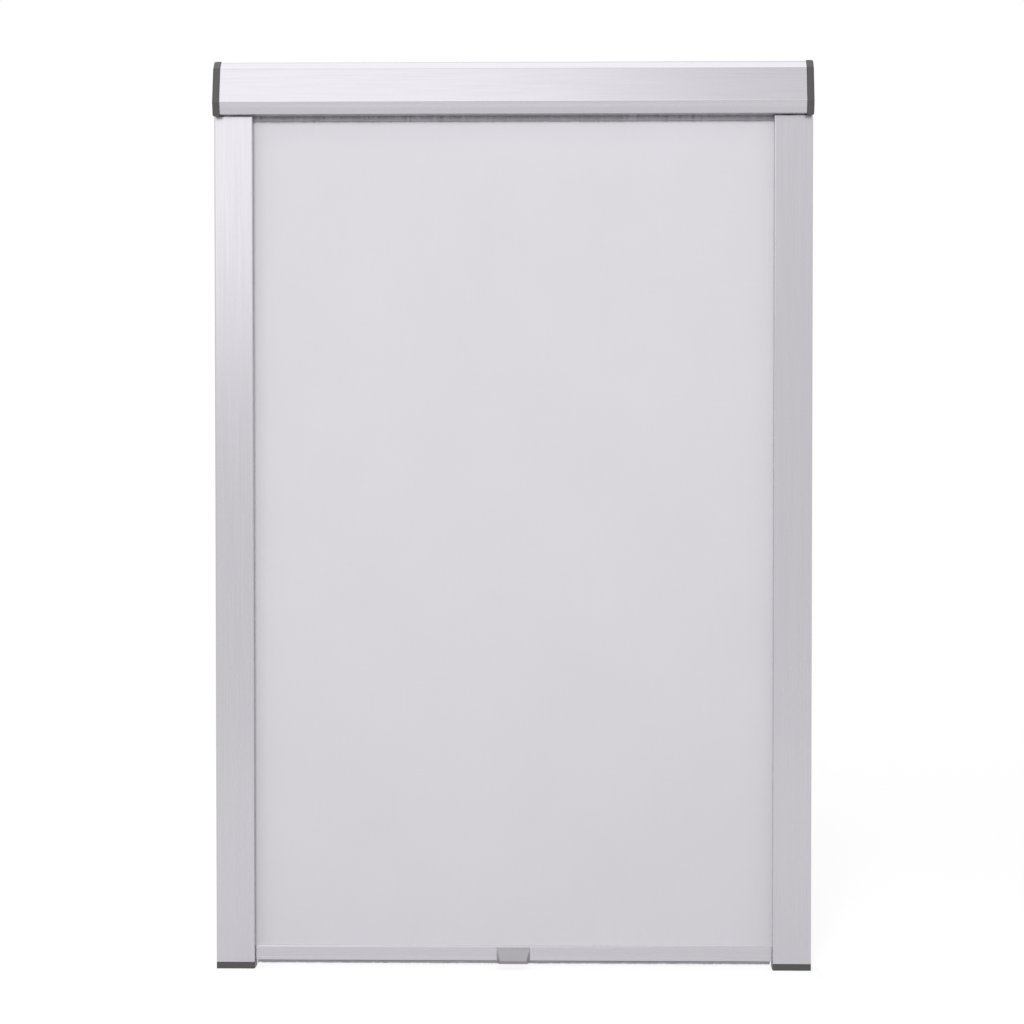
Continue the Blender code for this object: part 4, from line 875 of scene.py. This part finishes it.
def mapped(made, place_of):
    """Gives a cloth piece its own map in metres: across its width, and along its length."""
    layer = made.data.uv_layers.new(name="cloth")
    for loop in made.data.loops:
        layer.data[loop.index].uv = place_of(made.data.vertices[loop.vertex_index].co)


def build_panel():
    """The hanging fabric, taut between roller and bar, with the faint waves that the winding leaves."""
    low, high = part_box("fabric_panel")
    across, down = 160, 240
    wave_height, bow = 0.45 * MM, 0.9 * MM
    vertices, faces = [], []
    for row in range(down + 1):
        z = high.z + (low.z - high.z) * row / down
        for column in range(across + 1):
            x = low.x + (high.x - low.x) * column / across
            # The edges lie still in the rails, and the waves fade out below the cassette's foot
            edge = 1 - (abs(x) / high.x) ** 6
            fade = math.exp(-max(-z - 30 * MM, 0) / (90 * MM))
            wave = 0.5 + 0.5 * math.sin(x / (14.5 * MM) + 1.3 * math.sin(x / (61 * MM)))
            billow = 0.5 - 0.5 * math.cos(math.tau * min(max((z - low.z) / (high.z - low.z), 0), 1))
            y = FABRIC_Y + edge * (fade * wave_height * wave + billow * bow * (1 - (x / high.x) ** 2))
            vertices.append((x, y, z))
    for row in range(down):
        for column in range(across):
            a = row * (across + 1) + column
            faces.append((a, a + across + 1, a + across + 2, a + 1))
    mesh = bpy.data.meshes.new("fabric_sheet")
    mesh.from_pydata(vertices, [], faces)
    mesh.shade_smooth()
    panel = new_piece("fabric_sheet", mesh, CLOTH)
    mapped(panel, lambda co: (co.x, co.z))
    wall = panel.modifiers.new("thickness", "SOLIDIFY")
    wall.thickness = FABRIC_THICKNESS
    wall.offset = 0
    baked(panel)
    crisp(panel.data, 60)
    return carried(panel, "frame", "fabric_panel")


def build_roll():
    """The turns of fabric left on the tube, wound as one strip, and its free inner end."""
    low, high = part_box("fabric_roll")
    axis = Vector((ROLLER_Y, 0))
    outer, pitch, turns, steps = 12.9 * MM, 0.75 * MM, 3, 72
    outside, inside, lengths, travelled = [], [], [], 0
    for step in range(turns * steps + 1):
        turn = step / steps
        angle = 2 * math.pi * turn
        radius = outer - pitch * turn
        arm = Vector((math.cos(angle), math.sin(angle)))
        outside.append(axis + arm * radius)
        inside.append(axis + arm * (radius - FABRIC_THICKNESS))
        lengths.append(travelled)
        travelled += radius * 2 * math.pi / steps
    roll = drawn_out("fabric_wound", [[outside + inside[::-1]]], low.x, high.x, ALONG_X, CLOTH, 0)
    table = {}
    for line in (outside, inside):
        for point, length in zip(line, lengths):
            table[(round(point.x * 1e7), round(point.y * 1e7))] = length
    mapped(roll, lambda co: (co.x, table[(round(co.y * 1e7), round(co.z * 1e7))]))
    return carried(roll, "roller", "fabric_roll")


def build_hem():
    """The fabric's doubled lower edge round its rod, in the bar's upper pocket."""
    low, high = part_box("fabric_hem_rod")
    rod_z, radius = low.z + 1.7 * MM, 1.7 * MM
    rod = [[ring(1.3 * MM, FABRIC_Y, rod_z)]]
    carried(drawn_out("hem_rod", rod, low.x, high.x, ALONG_X, SHOE_PLASTIC, 0.1 * MM), "bar")
    # The loop is open by 24 degrees at its top, where the two plies meet
    turns = [math.radians(102 + 336 * step / 48) for step in range(49)]
    ply, split = 0.34 * MM, 0.01 * MM
    outer, inner = (
        [Vector((FABRIC_Y, rod_z)) + size * Vector((math.cos(turn), math.sin(turn))) for turn in turns]
        for size in (radius, radius - ply)
    )
    outline = [Vector((FABRIC_Y - ply, high.z)), *outer, Vector((FABRIC_Y + ply, high.z))]
    outline += [Vector((FABRIC_Y + split, high.z)), *inner[::-1], Vector((FABRIC_Y - split, high.z))]
    hem = drawn_out("fabric_hem", [[outline]], low.x, high.x, ALONG_X, CLOTH, 0)
    mapped(hem, lambda co: (co.x, co.z + co.y))
    return carried(hem, "bar", "fabric_hem_rod")


panel, wound, hem = build_panel(), build_roll(), build_hem()
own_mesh(panel)


def build_bar():
    """The bottom bar: raised front rim, a fine line in its face, and pockets for the hem and the brush."""
    low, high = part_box("bottom_bar")
    front, rear, rim, foot = low.y, high.y, high.z, low.z
    top, rim_rear = rim - 1.6 * MM, front + 1.6 * MM
    wall, edge = 1.3 * MM, 0.8 * MM
    rod_slot, pocket = 0.6 * MM, 2.3 * MM
    slot_floor = top - wall
    pocket_floor = slot_floor - 2 * pocket
    mouth, seal_half = 1 * MM, 2.4 * MM
    lip_top, seal_top, line_z = foot + wall, foot + wall + 2.2 * MM, foot + 3.2 * MM
    corners = [
        (rim_rear, top, 0.4 * MM),
        (rim_rear, rim, 0.3 * MM),
        (front + 0.42 * MM, rim, 0.35 * MM),
        (front, rim - 1.9 * MM, 0.5 * MM),
        *eased(0, (front, line_z + 0.25 * MM), (front + 0.12 * MM, line_z), (front, line_z - 0.25 * MM)),
        (front, foot, edge),
        *eased(0.2 * MM, (SEAL_Y - mouth, foot), (SEAL_Y - mouth, lip_top)),
        (SEAL_Y - seal_half, lip_top, 0),
        *eased(0.3 * MM, (SEAL_Y - seal_half, seal_top), (SEAL_Y + seal_half, seal_top)),
        (SEAL_Y + seal_half, lip_top, 0),
        *eased(0.2 * MM, (SEAL_Y + mouth, lip_top), (SEAL_Y + mouth, foot)),
        *eased(edge, (rear, foot), (rear, top)),
        *eased(0.25 * MM, (FABRIC_Y + rod_slot, top), (FABRIC_Y + rod_slot, slot_floor)),
        *eased(0.3 * MM, (FABRIC_Y + pocket, slot_floor), (FABRIC_Y + pocket, pocket_floor)),
        *eased(0.3 * MM, (FABRIC_Y - pocket, pocket_floor), (FABRIC_Y - pocket, slot_floor)),
        *eased(0.25 * MM, (FABRIC_Y - rod_slot, slot_floor), (FABRIC_Y - rod_slot, top)),
    ]
    hollows = []
    for left, right, bottom, upper in (
        (front + wall, FABRIC_Y - pocket - wall, seal_top + wall, top - 1.7 * MM),
        (SEAL_Y + seal_half + wall, rear - wall, lip_top, pocket_floor - wall),
    ):
        hollow = eased(0.4 * MM, (left, bottom), (right, bottom), (right, upper), (left, upper))
        hollows.append(rounded(hollow, 4))
    section = [rounded(corners, 5), *hollows]
    bar = drawn_out("bar_extrusion", [section], low.x, high.x, ALONG_X, COVER_METAL, 0.1 * MM)
    carried(bar, "bar", "bottom_bar")


def build_grip():
    """The finger grip: a sloping face between two cheeks that close in on its nose, a base and two tabs."""
    low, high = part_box("pull_grip")
    front, top, nose_foot, base = low.y, high.z, low.z, -17.8 * MM
    head, cheek_wall, nose_half = base - 1.7 * MM, 1.7 * MM, 13.4 * MM
    plates = rounded(
        [
            (base, top, 0.2 * MM),
            (head, top, 0.8 * MM),
            (base - 2 * MM, top - 2.2 * MM, 2.5 * MM),
            (front, top - 12.1 * MM, 0.7 * MM),
            (front + 3.4 * MM, nose_foot, 0.4 * MM),
            (front + 4.1 * MM, nose_foot + 0.3 * MM, 0.3 * MM),
            (front + 2.2 * MM, top - 12.9 * MM, 1 * MM),
            (base - 1.4 * MM, top - 4.6 * MM, 0.4 * MM),
            (base - 1.4 * MM, top - 14 * MM, 0.3 * MM),
            (base, top - 13.7 * MM, 0.3 * MM),
        ],
        6,
    )
    cheek = rounded(
        [
            (base - 1 * MM, top - 3.4 * MM, 0),
            (front + 1.8 * MM, top - 13.4 * MM, 0),
            (front + 3.2 * MM, nose_foot + 1.8 * MM, 1 * MM),
            (base - 1 * MM, top - 13.4 * MM, 0),
        ],
        4,
    )
    tab_top = top - 4 * MM
    tab = rounded(
        [
            (base - 0.5 * MM, tab_top, 0),
            *eased(0.3 * MM, (base + 3.9 * MM, tab_top), (base + 3.9 * MM, tab_top - 1.6 * MM)),
            (base + 1.9 * MM, tab_top - 3.2 * MM, 0.2 * MM),
            (base + 1.9 * MM, tab_top - 2.4 * MM, 0),
            (base - 0.5 * MM, tab_top - 2.4 * MM, 0),
        ],
        3,
    )
    sections, ends = [[plates]], [(low.x, high.x)]
    for side in (-1, 1):
        for outline, near, far in ((cheek, high.x - cheek_wall, high.x), (tab, 7.5 * MM, 12.5 * MM)):
            sections.append([outline])
            ends.append(sorted((side * near, side * far)))
    grip = drawn_out("finger_grip", sections, 0, 0, ALONG_X, GRIP_PLASTIC, 0, ends)
    for vertex in grip.data.vertices:
        if abs(vertex.co.x) > nose_half:
            share = min(max((head - vertex.co.y) / (head - front), 0), 1)
            vertex.co.x *= 1 + (nose_half / high.x - 1) * share
    carried(softened(grip, 0.35 * MM, 3), "bar", "pull_grip")


build_bar()
build_grip()


PAIR = ("_left", "_right")
for stem, sides, body, material, edge, segments in (
    ("cassette_cap", PAIR, "frame", DARK_PLASTIC, 0.3, 2),
    ("rail_cap", PAIR, "frame", DARK_PLASTIC, 0.4, 3),
    ("mounting_bracket", PAIR, "frame", ZINC, 0.2, 2),
    ("slide_shoe", PAIR, "bar", SHOE_PLASTIC, 0.3, 2),
    ("brake_spring", PAIR, "bar", SPRING_STEEL, 0.08, 2),
    ("roller_tube", [""], "roller", COVER_METAL, 0.15, 2),
    ("spring_end_bush", [""], "roller", DARK_PLASTIC, 0.25, 2),
    ("idle_end_plug", [""], "roller", DARK_PLASTIC, 0.25, 2),
    ("spring_drive_plug", [""], "roller", SHOE_PLASTIC, 0.25, 2),
    ("spring_shaft", [""], "frame", ZINC, 0.25, 2),
    ("idle_pin", [""], "frame", ZINC, 0.25, 2),
    ("spring_anchor_plug", [""], "frame", SHOE_PLASTIC, 0.25, 2),
):
    for side in sides:
        node = stem + side
        carried(merged_copy(node, node + "_made", material, edge * MM, segments), body, node)


def screw_blank():
    """One pan-head screw with a cross recess and a rolled thread, its head's face at x 0, point to -x."""
    # (radius, place along the screw) in millimetres: the head, the thread and the point
    profile = [(0, 0), (1.1, -0.02), (1.95, -0.14), (2.4, -0.5), (2.6, -1.0), (2.6, -1.85), (2.45, -2.0)]
    profile.append((1.4, -2.0))
    pitch, root, crest, x = 1.2, 1.1, 1.4, -2.6
    while x > -15.2:
        profile += [(root, x), (crest, x - pitch * 0.4), (crest, x - pitch * 0.52), (root, x - pitch * 0.92)]
        x -= pitch
    profile += [(root, x), (0, -18)]
    work = bmesh.new()
    steps = 24
    turns = [math.tau * step / steps for step in range(steps)]
    rows = []
    for radius, along in profile:
        if radius:
            places = [(along, radius * math.cos(turn), radius * math.sin(turn)) for turn in turns]
        else:
            places = [(along, 0, 0)]
        rows.append([work.verts.new(MM * Vector(place)) for place in places])
    for upper, lower in zip(rows, rows[1:]):
        for step in range(steps):
            ahead = (step + 1) % steps
            corners = [row[place % len(row)] for row, place in ((upper, step), (upper, ahead))]
            corners += [row[place % len(row)] for row, place in ((lower, ahead), (lower, step))]
            work.faces.new(dict.fromkeys(corners))
    bmesh.ops.recalc_face_normals(work, faces=work.faces)
    mesh = bpy.data.meshes.new("screw_blank")
    work.to_mesh(mesh)
    work.free()
    blank = new_piece("screw_blank", mesh, ZINC)
    # The recess is a cross of two wedges that taper inwards
    for width, height in ((0.9, 3.4), (3.4, 0.9)):
        work = bmesh.new()
        bmesh.ops.create_cube(work, size=1)
        size = Matrix.Diagonal((2.2 * MM, width * MM, height * MM, 1))
        bmesh.ops.transform(work, matrix=size, verts=work.verts)
        for vert in work.verts:
            if vert.co.x < 0:
                vert.co.y *= 0.55
                vert.co.z *= 0.55
        cut(blank, work)
    crisp(blank.data, 35)
    return blank


def screw_tree():
    """Geometry Nodes: the screw blank at every point, turned by the point's own angle about Z."""
    inputs = {"Places": "Geometry", "Screw": "Object", "Size": "Float", "Material": "Material"}
    tree, given = node_group("cap_screws", "Screws", inputs)
    blank = add(tree, "GeometryNodeObjectInfo", {"Object": given["Screw"], "As Instance": True})
    turn = add(tree, "GeometryNodeInputNamedAttribute", {"Name": "turn"}, data_type="FLOAT").outputs[0]
    spin = add(tree, "GeometryNodeInputNamedAttribute", {"Name": "spin"}, data_type="FLOAT").outputs[0]
    angles = add(tree, "ShaderNodeCombineXYZ", {0: spin, 1: 0, 2: turn})
    placed = add(
        tree,
        "GeometryNodeInstanceOnPoints",
        {
            "Points": given["Places"],
            "Instance": blank.outputs["Geometry"],
            "Rotation": angles.outputs[0],
            "Scale": given["Size"],
        },
    )
    return hand_out(tree, placed.outputs[0], given["Material"])


def build_screws():
    """Six screws through the cassette caps, each turned to its own angle as they were driven."""
    blank = screw_blank()
    face = RAIL_OUTER - 0.6 * MM
    places, turns, spins = [], [], []
    for number, (y, z) in enumerate(channel_places()):
        for side in (-1, 1):
            places.append((side * face, y, z))
            turns.append(0 if side > 0 else math.pi)
            spins.append(0.4 + 1.1 * number + 0.7 * side)
    mesh = bpy.data.meshes.new("cap_screws")
    mesh.from_pydata(places, [], [])
    for name, values in (("turn", turns), ("spin", spins)):
        mesh.attributes.new(name, "FLOAT", "POINT").data.foreach_set("value", values)
    screws = new_piece("cap_screws", mesh, ZINC)
    grown(screw_tree(), screws, {"Screw": blank, "Size": 1.0, "Material": ZINC})
    bpy.data.objects.remove(blank)
    crisp(screws.data, 35)
    nodes = [f"cap_screw_{side}_{number}" for side in ("left", "right") for number in (1, 2, 3)]
    carried(screws, "frame", *nodes)


build_screws()


def spring_tree():
    """Geometry Nodes: a round wire that follows an even coil."""
    inputs = {
        "Geometry": "Geometry",
        "Coil Radius": "Float",
        "Coil Length": "Float",
        "Turns": "Float",
        "Wire Radius": "Float",
        "Start": "Vector",
        "Material": "Material",
    }
    tree, given = node_group("torsion_spring", "Spring", inputs)
    coil = add(
        tree,
        "GeometryNodeCurveSpiral",
        {
            "Resolution": 36,
            "Rotations": given["Turns"],
            "Start Radius": given["Coil Radius"],
            "End Radius": given["Coil Radius"],
            "Height": given["Coil Length"],
        },
    )
    wire = add(tree, "GeometryNodeCurvePrimitiveCircle", {"Resolution": 10, "Radius": given["Wire Radius"]})
    swept = add(
        tree,
        "GeometryNodeCurveToMesh",
        {"Curve": coil.outputs[0], "Profile Curve": wire.outputs[0], "Fill Caps": True},
    )
    laid = add(
        tree,
        "GeometryNodeTransform",
        {"Geometry": swept.outputs[0], "Translation": given["Start"], "Rotation": (0, math.radians(90), 0)},
    )
    return hand_out(tree, laid.outputs[0], given["Material"])


def build_spring():
    """The torsion spring's coil between its two plugs, inside the tube."""
    low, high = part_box("roller_spring")
    mesh = bpy.data.meshes.new("spring_coil")
    mesh.from_pydata([(0, 0, 0)], [], [])
    spring = new_piece("spring_coil", mesh, SPRING_STEEL)
    wire = 0.6 * MM
    grown(
        spring_tree(),
        spring,
        {
            "Coil Radius": 6.2 * MM,
            "Coil Length": high.x - low.x - 2 * wire,
            "Turns": 24.0,
            "Wire Radius": wire,
            "Start": (low.x + wire, ROLLER_Y, 0),
            "Material": SPRING_STEEL,
        },
    )
    spring.data.shade_smooth()
    carried(spring, "frame", "roller_spring")


build_spring()
